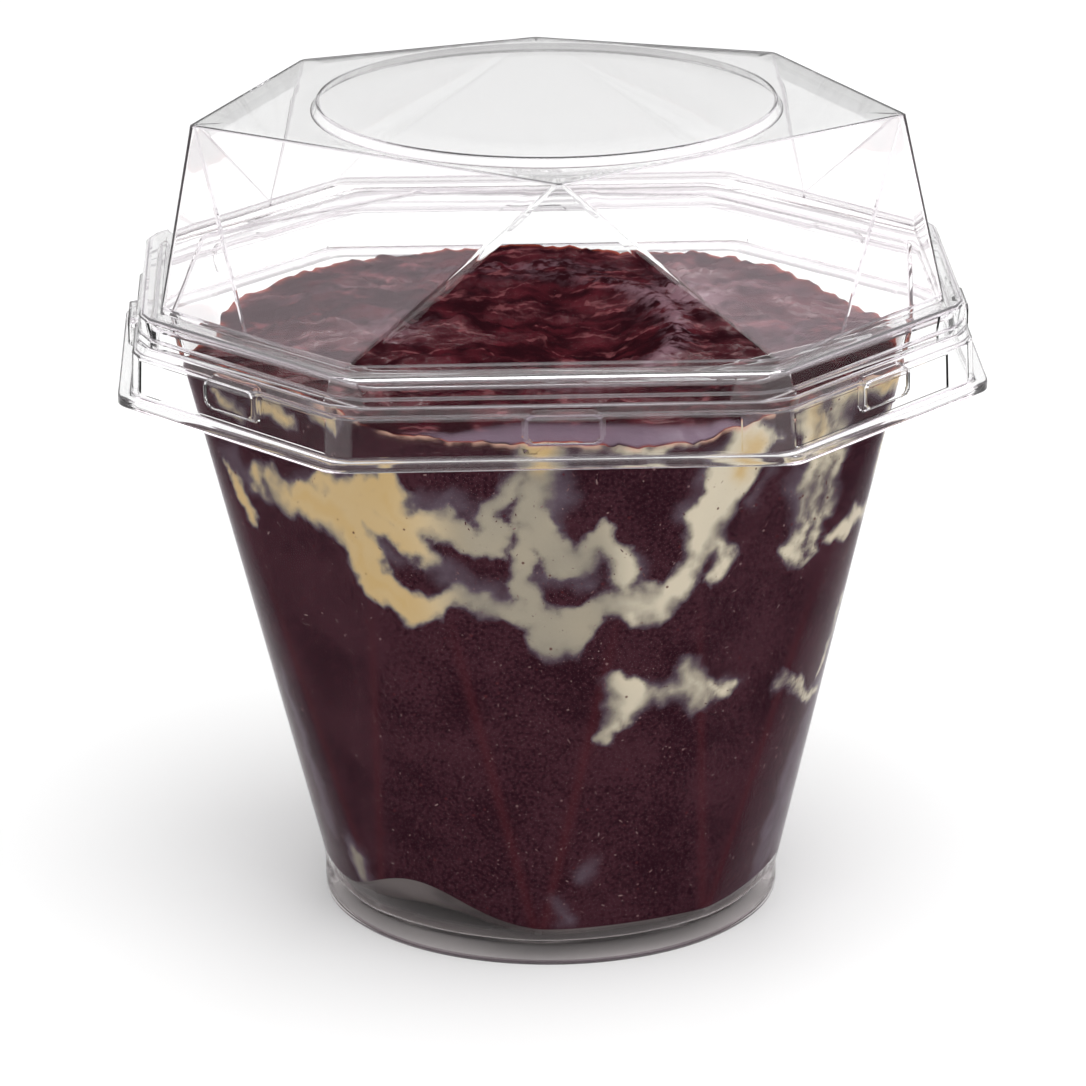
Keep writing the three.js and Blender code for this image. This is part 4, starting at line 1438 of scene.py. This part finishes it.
# Hazes of thin cream next to the streaks, and painted reflections down the lower left and right edges of the
# wall.
HAZES_AND_REFLECTIONS: tuple[Stroke, ...] = (
    ((-68, 58, 1.4), (-62, 54.5, 1.1)),
    ((-51.5, 57.5, 1.1), (-36, 60.5, 0.9)),
    ((-38, 53, 1.2), (-31, 51, 1.2)),
    ((-24.5, 58.5, 1.3), (-20, 58, 1.3), (-14.5, 57, 1.0)),
    ((-22.5, 50, 1.1), (-17.5, 48, 1.3), (-9.5, 47.5, 1.3)),
    ((-17.5, 46, 0.9), (-9.5, 46.5, 0.9)),
    ((-3, 49, 1.1), (5.5, 49, 0.7)),
    ((0, 61, 1.5), (-1.5, 56, 1.3)),
    ((14.5, 49, 0.8), (13, 51.5, 0.7)),
    ((21.5, 56, 0.9), (24, 60.5, 0.9), (26.5, 63.5, 0.7)),
    ((39.5, 59.5, 0.7), (36.5, 56, 0.7)),
    ((46.5, 58.5, 1.8), (48.5, 52, 1.6), (47.5, 48.5, 0.9)),
    ((18, 35.5, 0.8), (23.5, 35, 0.7)),
    ((35, 34, 0.9), (38.5, 33.5, 0.4)),
    ((72, 38, 1.0), (70, 30.5, 0.9)),
    ((-56, 10, 2.0), (-55, 7.6, 1.9)),
    ((-72, 30, 0.7), (-70, 22, 1.3), (-68, 12, 1.8)),
    ((74, 44, 0.8), (73, 33, 1.9), (70, 20, 3.0), (67, 8, 3.6)),
    ((76, 40, 1.0), (77, 25, 2.0), (78, 8, 3.0)),
    ((6, 12.5, 0.9), (6.5, 12, 0.9)),
    ((-1, 8, 0.7), (0.5, 6, 0.8)),
    ((118, 53, 1.2), (130, 47, 1.2)),
    ((165, 54, 1.4), (180, 51, 1.5)),
    ((196, 47, 1.3), (210, 43, 1.3)),
    ((236, 58, 1.5), (250, 55, 1.2)),
)

THICK: tuple[Stroke, ...] = (
    ((-57.5, 55.5, 0.6), (-50, 55, 1.4), (-42.5, 55, 1.7), (-39.5, 53, 1.3), (-39, 49.5, 1.2)),
    ((-39, 49.5, 1.2), (-35, 47, 1.2), (-30, 45.5, 1.0)),
    ((-31, 58, 1.0), (-28.5, 56, 1.0)),
    ((-2.5, 66, 1.8), (-4.5, 62, 0.7)),
    ((32, 60.5, 0.7), (35, 63, 1.1)),
    ((48, 67, 1.1), (49.5, 62, 0.4)),
    ((54, 67.5, 0.6), (65, 67, 0.8), (73, 66, 0.8)),
    ((125, 55, 0.9), (136, 50, 1.0)),
    ((210, 50, 0.8), (222, 55, 0.9)),
)


@dataclass(frozen=True)
class Swell:
    """A rise of an edge: its middle and width in degrees, and its height, negative for a dip."""

    middle: float
    width: float
    height: float

    def at(self, angle: np.ndarray) -> np.ndarray:
        """Its height in each direction."""
        return self.height * swell(turned(angle, self.middle) / self.width)


@dataclass(frozen=True)
class GlossSpot:
    """A painted gloss highlight on the open top: its middle, its half widths and how strong it is."""

    x: float
    y: float
    half_x: float
    half_y: float
    strength: float

    def at(self, x: np.ndarray, y: np.ndarray) -> np.ndarray:
        """How strongly it paints each place with the highlight."""
        away = ((x - self.x) / self.half_x) ** 2 + ((y - self.y) / self.half_y) ** 2
        return self.strength * np.exp(-away)


@dataclass(frozen=True)
class Rough:
    """Uneven relief from fractal noise: its height and length, and the numbers of the noise."""

    height: float
    length: float
    dimension: float
    lacunarity: float
    octaves: int
    level: float = 0.0

    def at(self, x: np.ndarray, y: np.ndarray) -> np.ndarray:
        """Its height at each place."""
        settings = (self.dimension, self.lacunarity, self.octaves)
        spots = (np.column_stack([x, y]) / self.length).tolist()
        return self.height * np.array([noise.fractal((a, b, self.level), *settings) for a, b in spots])


@dataclass
class Contents:
    """Acai up to its scooped top, and the streaks of cream in its side."""

    cup: Cup
    streaks: Streaks
    sunk: float = 0.3
    cream_proud: float = 0.03
    level: float = 67.5
    front_dip: float = 2.1
    front_dip_middle: float = 5.0
    front_dip_width: float = 38.0
    front_dip_flatness: int = 4
    dip_rises_from: Span = (0.6, 0.955)
    level_swells: tuple[Swell, ...] = (
        Swell(-62.0, 20.0, 1.8),
        Swell(-107.0, 17.0, -3.6),
        Swell(60.0, 20.0, 0.7),
        Swell(109.0, 14.0, -3.0),
        Swell(155.0, 18.0, -0.8),
        Swell(-160.0, 12.0, -0.8),
    )
    ragged: Rough = Rough(0.45, 1.7, 0.7, 2.0, 4)
    front_sheen_edge: Span = (0.955, 0.975)
    front_sheen_half: Span = (22.0, 34.0)
    rim_width: float = 0.35
    rim_half: Span = (60.0, 90.0)
    wet_sides: Span = (8.0, 22.0)
    floor_z: float = 2.5
    wall_start: float = 0.2
    pocket: Swell = Swell(-38.0, 19.0, 4.4)
    sole_share: float = 0.9
    sole_rise: float = 0.6
    sole_crease: float = 1.0
    heel_share: float = 0.72
    heel_crease: float = 0.8
    heel_rows: int = 3
    relief_fades_from: float = 0.8
    swirl_y: float = 0.5
    swirl_half_width: float = 15.0
    swirl_half_depth: float = 22.0
    gloss_spots: tuple[GlossSpot, ...] = (
        GlossSpot(17.0, 14.0, 4.5, 7.0, 0.9),
        GlossSpot(-2.0, 26.0, 13.0, 2.2, 0.5),
        GlossSpot(-18.0, 4.0, 4.0, 6.0, 0.45),
        GlossSpot(28.0, -1.0, 4.0, 5.0, 0.4),
        GlossSpot(24.0, 18.0, 7.0, 3.0, 0.35),
        GlossSpot(-24.0, 18.0, 8.0, 3.0, 0.3),
    )
    ridge: float = 0.5
    ridge_width: float = 0.1
    ridge_calm: float = 0.4
    crest_share: float = 0.85
    hollow: float = 2.4
    hollow_left: float = 0.3
    hollow_flat_to: float = 0.45
    nub: tuple[float, float] = (-9.5, 4.8)
    nub_height: float = 1.5
    nub_radius: float = 2.0
    ruffles: Rough = Rough(1.0, 6.0, 0.6, 2.1, 6, 3.7)
    ruffle_stretch: float = 0.7
    columns: int = 448
    wall_rows: int = 104
    top_rows: int = 94
    crease_light_half: float = 0.55
    crease_light_fades: Span = (34.0, 48.0)
    cream_depth: float = 2.2
    cream_least_depth: float = 0.02
    cream_full_depth_at: float = 1.0
    cream_margin: float = 0.7
    cream_pad: float = 4.0
    cream_below: float = 1.2
    cream_dip: float = 0.12
    cream_step: float = 0.35
    least_slope: float = 0.3
    bare_distance: float = 9.0
    typical_radius: float = 33.0

    def frontness(self, angle: np.ndarray) -> np.ndarray:
        """1 in the dip at the front and 0 away from it; angles in degrees."""
        away = turned(angle, self.front_dip_middle) / self.front_dip_width
        return np.exp(-(away**self.front_dip_flatness))

    def wall_level(self, angle: np.ndarray) -> np.ndarray:
        """Height of the acai against the wall, lowest at the front and a little ragged; angles in degrees."""
        turn, radius = np.radians(angle), self.cup.base_radius
        ragged = self.ragged.at(np.sin(turn) * radius, np.cos(turn) * radius)
        level = self.level - self.front_dip * self.frontness(angle) + ragged
        return sum((rise.at(angle) for rise in self.level_swells), level)

    def wall_foot(self, angle: np.ndarray) -> np.ndarray:
        """Height at which the acai meets the wall at the foot, raised by the air pocket."""
        return self.cup.start_z + self.wall_start + self.pocket.at(angle)

    def _swirl(self, x: np.ndarray, y: np.ndarray) -> tuple[np.ndarray, np.ndarray]:
        """Shares of the curved ridge and of the hollow that it runs round."""
        across, along = x / self.swirl_half_width, (y - self.swirl_y) / self.swirl_half_depth
        reach = np.hypot(across, along)
        rightness = (1 + np.cos(np.arctan2(along, across))) / 2
        ridge = rightness**2 * swell((reach - 1) / self.ridge_width)
        hollow = blend(self.hollow_left, 1.0, rightness) * (1 - smoothstep(reach, self.hollow_flat_to, 1.0))
        return ridge, hollow

    def relief(self, x: np.ndarray, y: np.ndarray) -> np.ndarray:
        """Relief of the scooped top: a curved ridge round a hollow, a nub and ruffles."""
        ridge, hollow = self._swirl(x, y)
        from_nub = np.hypot(x - self.nub[0], y - self.nub[1]) / self.nub_radius
        nub = self.nub_height * swell(from_nub)
        ruffles = self.ruffles.at(x * self.ruffle_stretch, y) * (1 - self.ridge_calm * np.sqrt(ridge))
        return self.ridge * ridge - self.hollow * hollow + nub + ruffles

    def wall_points(self, angle: np.ndarray, z: np.ndarray, proud: float) -> tuple[np.ndarray, np.ndarray]:
        """Points on the side of the contents, and their distances from the axis."""
        radius = self.cup.radius(self.cup.wall - self.sunk - proud, angle, z)
        turn = np.radians(angle)
        return np.column_stack([radius * np.sin(turn), -radius * np.cos(turn), z]), radius

    def _looks(self, angle: np.ndarray, z: np.ndarray, radius: np.ndarray) -> dict[str, np.ndarray]:
        """Values of places on the wall for the finish."""
        return {
            **self.streaks.looks(angle, z, radius),
            # Painted light along the cup's creases.
            "crease": self._crease_light(angle, z, radius),
            "rim": swell((self.wall_level(angle) - z) / self.rim_width),
            "front_sheen": np.zeros_like(z),
            "crest_and_gloss": np.zeros_like(z),
            "sides": np.zeros_like(z),
        }

    def _top_looks(self, angle: np.ndarray, share: float, radius: np.ndarray) -> dict[str, np.ndarray]:
        """Values of a ring of the top at a share of the way from the middle to the wall."""
        from_middle = np.abs(turned(angle, self.front_dip_middle))
        x, y = radius * share * np.sin(np.radians(angle)), -radius * share * np.cos(np.radians(angle))
        ridge, _ = self._swirl(x, y)
        spots = [spot.at(x, y) for spot in self.gloss_spots]
        rim = swell(radius * (1 - share) / (2 * self.rim_width))
        return {
            "rim": rim * smoothstep(from_middle, *self.rim_half),
            # Painted sheen along the front edge of the top.
            "front_sheen": smoothstep(share, *self.front_sheen_edge) * (1 - smoothstep(from_middle, *self.front_sheen_half)),
            # The ridge's flecks, partly painted highlight, and painted gloss spots.
            "crest_and_gloss": np.maximum.reduce([ridge * self.crest_share, *spots]),
            "sides": smoothstep(np.abs(x), *self.wet_sides),
        }

    def _crease_light(self, angle: np.ndarray, z: np.ndarray, radius: np.ndarray) -> np.ndarray:
        """How close each place is to a crease of the wall, from 0 to 1, fading out towards the top; it lays
        painted light along the cup's creases.
        """
        away = turned(angle[:, None], self.cup.crease_angles(z))
        nearest = np.abs(np.radians(away)).min(axis=1) * radius
        return swell(nearest / self.crease_light_half) * (1 - smoothstep(z, *self.crease_light_fades))

    def build_acai(self, finishes: Sequence[bpy.types.Material]) -> bpy.types.Object:
        """Makes the acai as one closed body.

        Args:
            finishes: those of the side, of the open top and of the underside.

        Returns:
            The object.
        """
        angle = np.linspace(0.0, FULL_TURN, self.columns, endpoint=False)
        foot_z, level = self.wall_foot(angle), self.wall_level(angle)
        foot, _ = self.wall_points(angle, foot_z, 0.0)
        heel, ball = foot.copy(), foot.copy()
        heel[:, :2] *= self.heel_share
        heel[:, 2] = self.floor_z
        ball[:, :2] *= self.sole_share
        ball[:, 2] = self.floor_z + (foot_z - self.cup.start_z) * self.sole_rise
        centre = Key(heel * (0, 0, 1), 0.0, self.heel_rows)
        corners = [Key(heel, self.heel_crease), Key(ball, self.sole_crease)]
        under, _ = lofted([centre, *corners, Key(foot, 0.0)])
        rows, looks = [*under[:-1]], [{}] * (len(under) - 1)
        for share in np.linspace(0.0, 1.0, self.wall_rows):
            z = blend(foot_z, level, share)
            points, radius = self.wall_points(angle, z, 0.0)
            rows.append(points)
            looks.append(self._looks(angle, z, radius))
        rim, wall_radius = rows[-1], np.hypot(rows[-1][:, 0], rows[-1][:, 1])
        for share in 1 - np.arange(1, self.top_rows + 1) / self.top_rows:
            flat = rim[:, :2] * share
            rise = 1 - smoothstep(share, blend(*self.dip_rises_from, self.frontness(angle)), 1.0)
            inner = 1 - smoothstep(share, self.relief_fades_from, 1.0)
            height = blend(level, self.level, rise) + inner * self.relief(flat[:, 0], flat[:, 1])
            rows.append(raised(flat, height))
            looks.append(self._top_looks(angle, share, wall_radius))
        rows = np.array(rows)
        count, below = self.columns, len(under) - 1
        bare = {label: np.zeros(count) for label in looks[below]}
        bare["cream"] = np.full(count, self.bare_distance)
        values = {label: np.concatenate([look.get(label, bare[label]) for look in looks]) for label in bare}
        faces = grid_faces(len(rows), count)
        row = np.arange(len(faces)) // count
        which = np.where(row < below + self.wall_rows - 1, AcaiFinish.SIDE, AcaiFinish.TOP)
        which[row < below] = AcaiFinish.SOLE
        piece = make_piece("acai_body", rows.reshape(-1, 3), faces, finishes, which, values, weld=True)
        return settle(piece, Slot.ACAI, "acai")

    def _cream_sheet(self, strokes: Sequence[Stroke]) -> tuple[np.ndarray, np.ndarray, np.ndarray]:
        """Small square faces over a group of strokes, with their border drawn up to the outline.

        Args:
            strokes: the runs of the group.

        Returns:
            Directions and heights of the corners, and the faces.
        """
        spots = np.array([spot for stroke in strokes for spot in stroke])
        pad, step = self.cream_pad, self.cream_step
        wide, turn = (math.degrees(length / self.typical_radius) for length in (pad, step))
        angles = np.arange(spots[:, 0].min() - wide, spots[:, 0].max() + wide, turn)
        heights = np.arange(spots[:, 1].min() - pad, spots[:, 1].max() + pad, step)
        angle, z = (part.ravel() for part in np.meshgrid(angles, heights))
        _, radius = self.wall_points(angle, z, 0.0)
        gap = self.streaks.distance(strokes, angle, z, radius).reshape(len(heights), len(angles))
        under_rim = z < self.wall_level(angle) - self.rim_width
        keep = (gap < self.cream_margin) & under_rim.reshape(gap.shape)
        cell = keep[:-1, :-1] & keep[1:, :-1] & keep[:-1, 1:] & keep[1:, 1:]
        quads = grid_faces(len(heights), len(angles), closed=False)[cell.ravel()]
        used, quads = np.unique(quads, return_inverse=True)
        quads = quads.reshape(-1, 4)
        slope_z, slope_x = (slope.ravel()[used] for slope in np.gradient(gap, step))
        steep = np.maximum(np.hypot(slope_x, slope_z), self.least_slope)
        on_border = np.isin(np.arange(len(used)), self._open_edges(quads))
        short = np.where(on_border, (self.cream_margin - gap.ravel()[used]).clip(0, 2 * step), 0.0)
        move = short / steep**2
        angle = angle[used] + np.degrees(move * slope_x / radius[used])
        z = np.minimum(z[used] + move * slope_z, self.wall_level(angle))
        return angle, z, quads

    def build_cream(self, name: str, material: bpy.types.Material) -> bpy.types.Object:
        """Makes one group of streaks as a closed slab, thick in its middle, flush with the side of the acai.

        Args:
            name: the group's CAD node.
            material: finish of the slab.

        Returns:
            The object.
        """
        strokes = self.streaks.groups[name]
        angle, z, quads = self._cream_sheet(strokes)
        front, radius = self.wall_points(angle, z, self.cream_proud)
        looks = self._looks(angle, z, radius)
        inside = -self.streaks.distance(strokes, angle, z, radius)
        dip = self.cream_dip * (1 - smoothstep(inside, -self.cream_margin, 0.0))
        front[:, :2] *= (1 - dip / radius)[:, None]
        thickness = np.sqrt(smoothstep(inside, -self.cream_margin, self.cream_full_depth_at))
        depth = self.cream_depth * thickness + self.cream_least_depth
        back = front.copy()
        back[:, :2] *= (1 - depth / radius)[:, None]
        back[:, 2] = np.minimum(back[:, 2], self.wall_level(angle) - self.cream_below)
        values = {label: np.concatenate([look, look]) for label, look in looks.items()}
        points = np.concatenate([front, back])
        faces = np.concatenate([quads, quads[:, ::-1] + len(front), self._walls(quads, len(front))])
        piece = make_piece(name + "_soft", points, faces, [material], None, values)
        return settle(piece, Slot.CREAM, name)

    @staticmethod
    def _open_edges(quads: np.ndarray) -> np.ndarray:
        """Directed edges of the faces that no neighbour shares."""
        edges = np.concatenate([quads[:, [i, (i + 1) % 4]] for i in range(4)])
        known = {(a, b) for a, b in edges.tolist()}
        return np.array([(a, b) for a, b in known if (b, a) not in known])

    def _walls(self, quads: np.ndarray, offset: int) -> np.ndarray:
        """Faces that join the border of the front to that of the back."""
        edges = np.array(sorted(map(tuple, self._open_edges(quads).tolist())))
        return np.column_stack([edges[:, 1], edges[:, 0], edges[:, 0] + offset, edges[:, 1] + offset])


@dataclass(frozen=True)
class Grains:
    """Fine grains scattered over the side of the acai: flat specks, some drawn out into scratches."""

    name: str = "acai_grains"
    per_square_metre: float = 900000.0
    seed: int = 7
    radius: float = 0.06
    segments: int = 5
    rings: int = 2
    sizes: Span = (0.5, 1.5)
    longest: float = 5.0
    long_rarity: float = 6.0
    flatness: float = 0.25
    proud: float = 0.02
    columns: int = 120
    rows: int = 24
    margin: float = 1.2

    def build(self, contents: Contents, material: bpy.types.Material) -> bpy.types.Object:
        """Scatters the grains over a sheet along the wall and keeps only them.

        Args:
            contents: the acai that they lie in.
            material: their finish.

        Returns:
            The object.
        """
        angle = np.linspace(0.0, FULL_TURN, self.columns, endpoint=False)
        low, high = contents.wall_foot(angle) + self.margin, contents.wall_level(angle) - self.margin
        heights = [blend(low, high, share) for share in np.linspace(0.0, 1.0, self.rows)]
        points = np.concatenate([contents.wall_points(angle, z, self.proud)[0] for z in heights])
        piece = make_piece(self.name, points, grid_faces(self.rows, self.columns), [material])
        modifier = piece.modifiers.new("scatter", "NODES")
        modifier.node_group = self._tree()
        given = {"Density": self.per_square_metre, "Radius": self.radius * METRES, "Finish": material}
        for item in modifier.node_group.interface.items_tree:
            if item.item_type == "SOCKET" and item.in_out == "INPUT" and item.name in given:
                modifier[item.identifier] = given[item.name]
        bpy.context.view_layer.update()
        shown = piece.evaluated_get(bpy.context.evaluated_depsgraph_get())
        mesh = bpy.data.meshes.new_from_object(shown)
        piece.modifiers.clear()
        piece.data = mesh
        return settle(piece, Slot.ACAI)

    def _tree(self) -> bpy.types.NodeTree:
        """Node group that puts a flat grain of its own length, turn and tone on each scattered point."""
        tree = bpy.data.node_groups.new("grains", "GeometryNodeTree")
        for name, kind in (
            ("Geometry", "NodeSocketGeometry"),
            ("Density", "NodeSocketFloat"),
            ("Radius", "NodeSocketFloat"),
            ("Finish", "NodeSocketMaterial"),
        ):
            tree.interface.new_socket(name, in_out="INPUT", socket_type=kind)
        tree.interface.new_socket("Geometry", in_out="OUTPUT", socket_type="NodeSocketGeometry")
        graph = NodeTree(tree)
        given = graph.add("NodeGroupInput").outputs
        sockets = {"Mesh": given["Geometry"], "Density": given["Density"], "Seed": self.seed}
        scatter = graph.add("GeometryNodeDistributePointsOnFaces", None, sockets).outputs
        sockets = {"Radius": given["Radius"], "Segments": self.segments, "Rings": self.rings}
        grain = graph.add("GeometryNodeMeshUVSphere", None, sockets)
        size = graph.random(self.sizes, self.seed + 1)
        rare = graph.random((0.0, 1.0), self.seed + 2).math("POWER", self.long_rarity)
        length = 1.0 + rare * (self.longest - 1.0)
        sockets = {"X": size * length, "Y": size, "Z": size * self.flatness}
        scale = graph.add("ShaderNodeCombineXYZ", None, sockets)
        sockets = {
            "Points": scatter["Points"],
            "Instance": grain.outputs["Mesh"],
            "Rotation": scatter["Rotation"],
            "Scale": scale.outputs[0],
        }
        placed = graph.add("GeometryNodeInstanceOnPoints", None, sockets)
        turn = graph.add("ShaderNodeCombineXYZ", None, {"Z": graph.random((0.0, 2 * math.pi), self.seed + 3)})
        sockets = {"Instances": placed.outputs[0], "Rotation": turn.outputs[0]}
        last = graph.add("GeometryNodeRotateInstances", None, sockets)
        tone = {"Name": "tone", "Value": graph.random((0.0, 1.0), self.seed + 4)}
        for kind, settings, sockets in (
            ("GeometryNodeStoreNamedAttribute", {"data_type": "FLOAT", "domain": "INSTANCE"}, tone),
            ("GeometryNodeRealizeInstances", None, {}),
            ("GeometryNodeSetMaterial", None, {"Material": given["Finish"]}),
            ("NodeGroupOutput", None, {}),
        ):
            last = graph.add(kind, settings, {"Geometry": last.outputs[0], **sockets})
        return tree


# Studio


@dataclass(frozen=True)
class Softbox:
    """A square light that faces the cup, as bright as its glow says, where 1 is white.

    A mirrored one is only seen in the plastic and does not add to the shadow.
    """

    name: str
    place: Triple
    size: float
    glow: float
    mirrored: bool = False


@dataclass(frozen=True)
class Flag:
    """A dark place in the surroundings: its direction, the angles of its core and its edge, its darkness."""

    place: Triple
    near: float
    far: float
    darkness: float


@dataclass
class Studio:
    """Pale floor, white surroundings, soft lights and the camera at the photograph's viewing angle."""

    aim_height: float = 45.0
    floor_half: float = 3000.0
    floor_colour: Colour = (0.93, 0.93, 0.93)
    floor_roughness: float = 0.7
    floor_mirror: float = 0.1
    horizon_light: float = 0.99
    zenith_light: float = 1.08
    flags: tuple[Flag, ...] = (
        Flag((0.04, -0.94, 0.34), 12.0, 18.0, 0.97),
        Flag((0.0, 0.966, 0.26), 7.0, 20.0, 0.35),
    )
    mirrored_colour: Colour = (1.0, 0.82, 0.91)
    softboxes: tuple[Softbox, ...] = (
        Softbox("light_left", (-723.0, 89.0, 529.0), 800.0, 1.4, True),
        Softbox("light_right", (743.0, 131.0, 490.0), 800.0, 1.85, True),
        Softbox("light_back", (100.0, 600.0, 650.0), 300.0, 2.0),
        Softbox("light_overhead", (200.0, -450.0, 1000.0), 1300.0, 1.65),
    )
    bounces: tuple[tuple[str, int], ...] = (
        ("max_bounces", 24),
        ("transmission_bounces", 20),
        ("diffuse_bounces", 3),
        ("glossy_bounces", 4),
    )
    camera_place: Triple = (-24.17, -619.53, 254.59)
    camera_azimuth: float = 2.235
    camera_aim_across: float = -0.711
    camera_aim_height: float = 41.827
    camera_roll: float = -0.006
    lens: float = 187.93
    sensor: float = 36.0

    def build(self) -> None:
        """Makes all of it."""
        self._world()
        self._floor()
        for box in self.softboxes:
            self._light(box)
        self._camera()

    def _world(self) -> None:
        """Surroundings that grow lighter upwards, with darker places before and behind the cup."""
        world = bpy.data.worlds.new("studio")
        bpy.context.scene.world = world
        graph = Graph(world)
        direction = graph.add("ShaderNodeTexCoord").outputs["Generated"]

        def towards(place: Triple) -> Value:
            """How much a direction points towards a place, up to 1."""
            ahead = tuple(Vector(place).normalized())
            node = graph.add("ShaderNodeVectorMath", {"operation": "DOT_PRODUCT"}, {0: direction, 1: ahead})
            return Value(graph, node.outputs["Value"])

        height = towards(UP).ease(0.0, 1.0)
        light = self.horizon_light + height * (self.zenith_light - self.horizon_light)
        for flag in self.flags:
            near, far = (math.cos(math.radians(angle)) for angle in (flag.near, flag.far))
            light = light * (1.0 - towards(flag.place).ease(far, near) * flag.darkness)
        background = graph.add("ShaderNodeBackground", None, {"Strength": light})
        graph.add("ShaderNodeOutputWorld", None, {"Surface": background.outputs[0]})
        bpy.context.scene.view_settings.view_transform = "Standard"
        for kind, count in self.bounces:
            setattr(bpy.context.scene.cycles, kind, count)

    def _floor(self) -> None:
        """Pale floor under the cup."""
        graph = Graph(bpy.data.materials.new("floor_finish"))
        finish = graph.finish(
            {
                "Base Color": (*self.floor_colour, 1.0),
                "Roughness": self.floor_roughness,
                "Specular IOR Level": self.floor_mirror,
            }
        )
        corners = np.array([(-1.0, -1.0, 0.0), (1.0, -1.0, 0.0), (1.0, 1.0, 0.0), (-1.0, 1.0, 0.0)])
        floor = make_piece("floor", corners * self.floor_half, np.array([[0, 1, 2, 3]]), [finish])

    def _light(self, box: Softbox) -> None:
        """One soft light, turned to the cup."""
        data = bpy.data.lights.new(box.name, "AREA")
        data.size = box.size * METRES
        data.energy = box.glow * math.pi * data.size**2
        lamp = bpy.data.objects.new(box.name, data)
        lamp.visible_diffuse = not box.mirrored
        if box.mirrored:
            data.color = self.mirrored_colour
        bpy.context.scene.collection.objects.link(lamp)
        place = Vector(box.place) * METRES
        aim = Vector(UP) * self.aim_height * METRES - place
        lamp.location = place
        lamp.rotation_euler = aim.to_track_quat("-Z", "Y").to_euler()

    def _camera(self) -> None:
        """The camera, fitted to the photograph."""
        data = bpy.data.cameras.new("camera")
        data.lens = self.lens
        data.sensor_width = self.sensor
        camera = bpy.data.objects.new("camera", data)
        bpy.context.scene.collection.objects.link(camera)
        turn = math.radians(self.camera_azimuth)
        across = Vector((math.cos(turn), -math.sin(turn), 0.0)) * self.camera_aim_across
        target = across + Vector(UP) * self.camera_aim_height
        place = Vector(self.camera_place)
        look = (target - place).normalized()
        right = look.cross(Vector(UP)).normalized()
        up = right.cross(look)
        cos, sin = math.cos(self.camera_roll), math.sin(self.camera_roll)
        rolled_right, rolled_up = right * cos + up * sin, up * cos - right * sin
        turned = Matrix((rolled_right, rolled_up, -look)).transposed().to_4x4()
        camera.matrix_world = Matrix.Translation(place * METRES) @ turned
        bpy.context.scene.camera = camera


def main() -> None:
    """Builds the dressed cup and its studio."""
    logging.basicConfig(level=logging.INFO, format="%(message)s")
    cup, lid = Cup(), Lid()
    streaks = Streaks({**FRONT_STREAKS, **BACK_STREAKS}, WISPS, HAZES_AND_REFLECTIONS, THICK)
    contents = Contents(cup, streaks)
    plastics = dict.fromkeys([*CUP_PLASTICS.values(), *LID_PLASTICS.values()])
    made = {plastic: plastic.material() for plastic in plastics}
    clear_pieces = [
        cup.build([made[CUP_PLASTICS[finish]] for finish in CupFinish]),
        lid.build([made[LID_PLASTICS[finish]] for finish in LidFinish]),
    ]
    for piece in clear_pieces:
        piece.visible_shadow = False
        piece.visible_diffuse = False
    wall = WallFood("acai_wall").material()
    contents.build_acai([wall, WetAcai("acai_top").material(), CloudyAcai("acai_sole").material()])
    for name in streaks.groups:
        contents.build_cream(name, wall)
    Grains().build(contents, Grain("acai_grain").material())
    Studio().build()


if __name__ == "__main__":
    main()
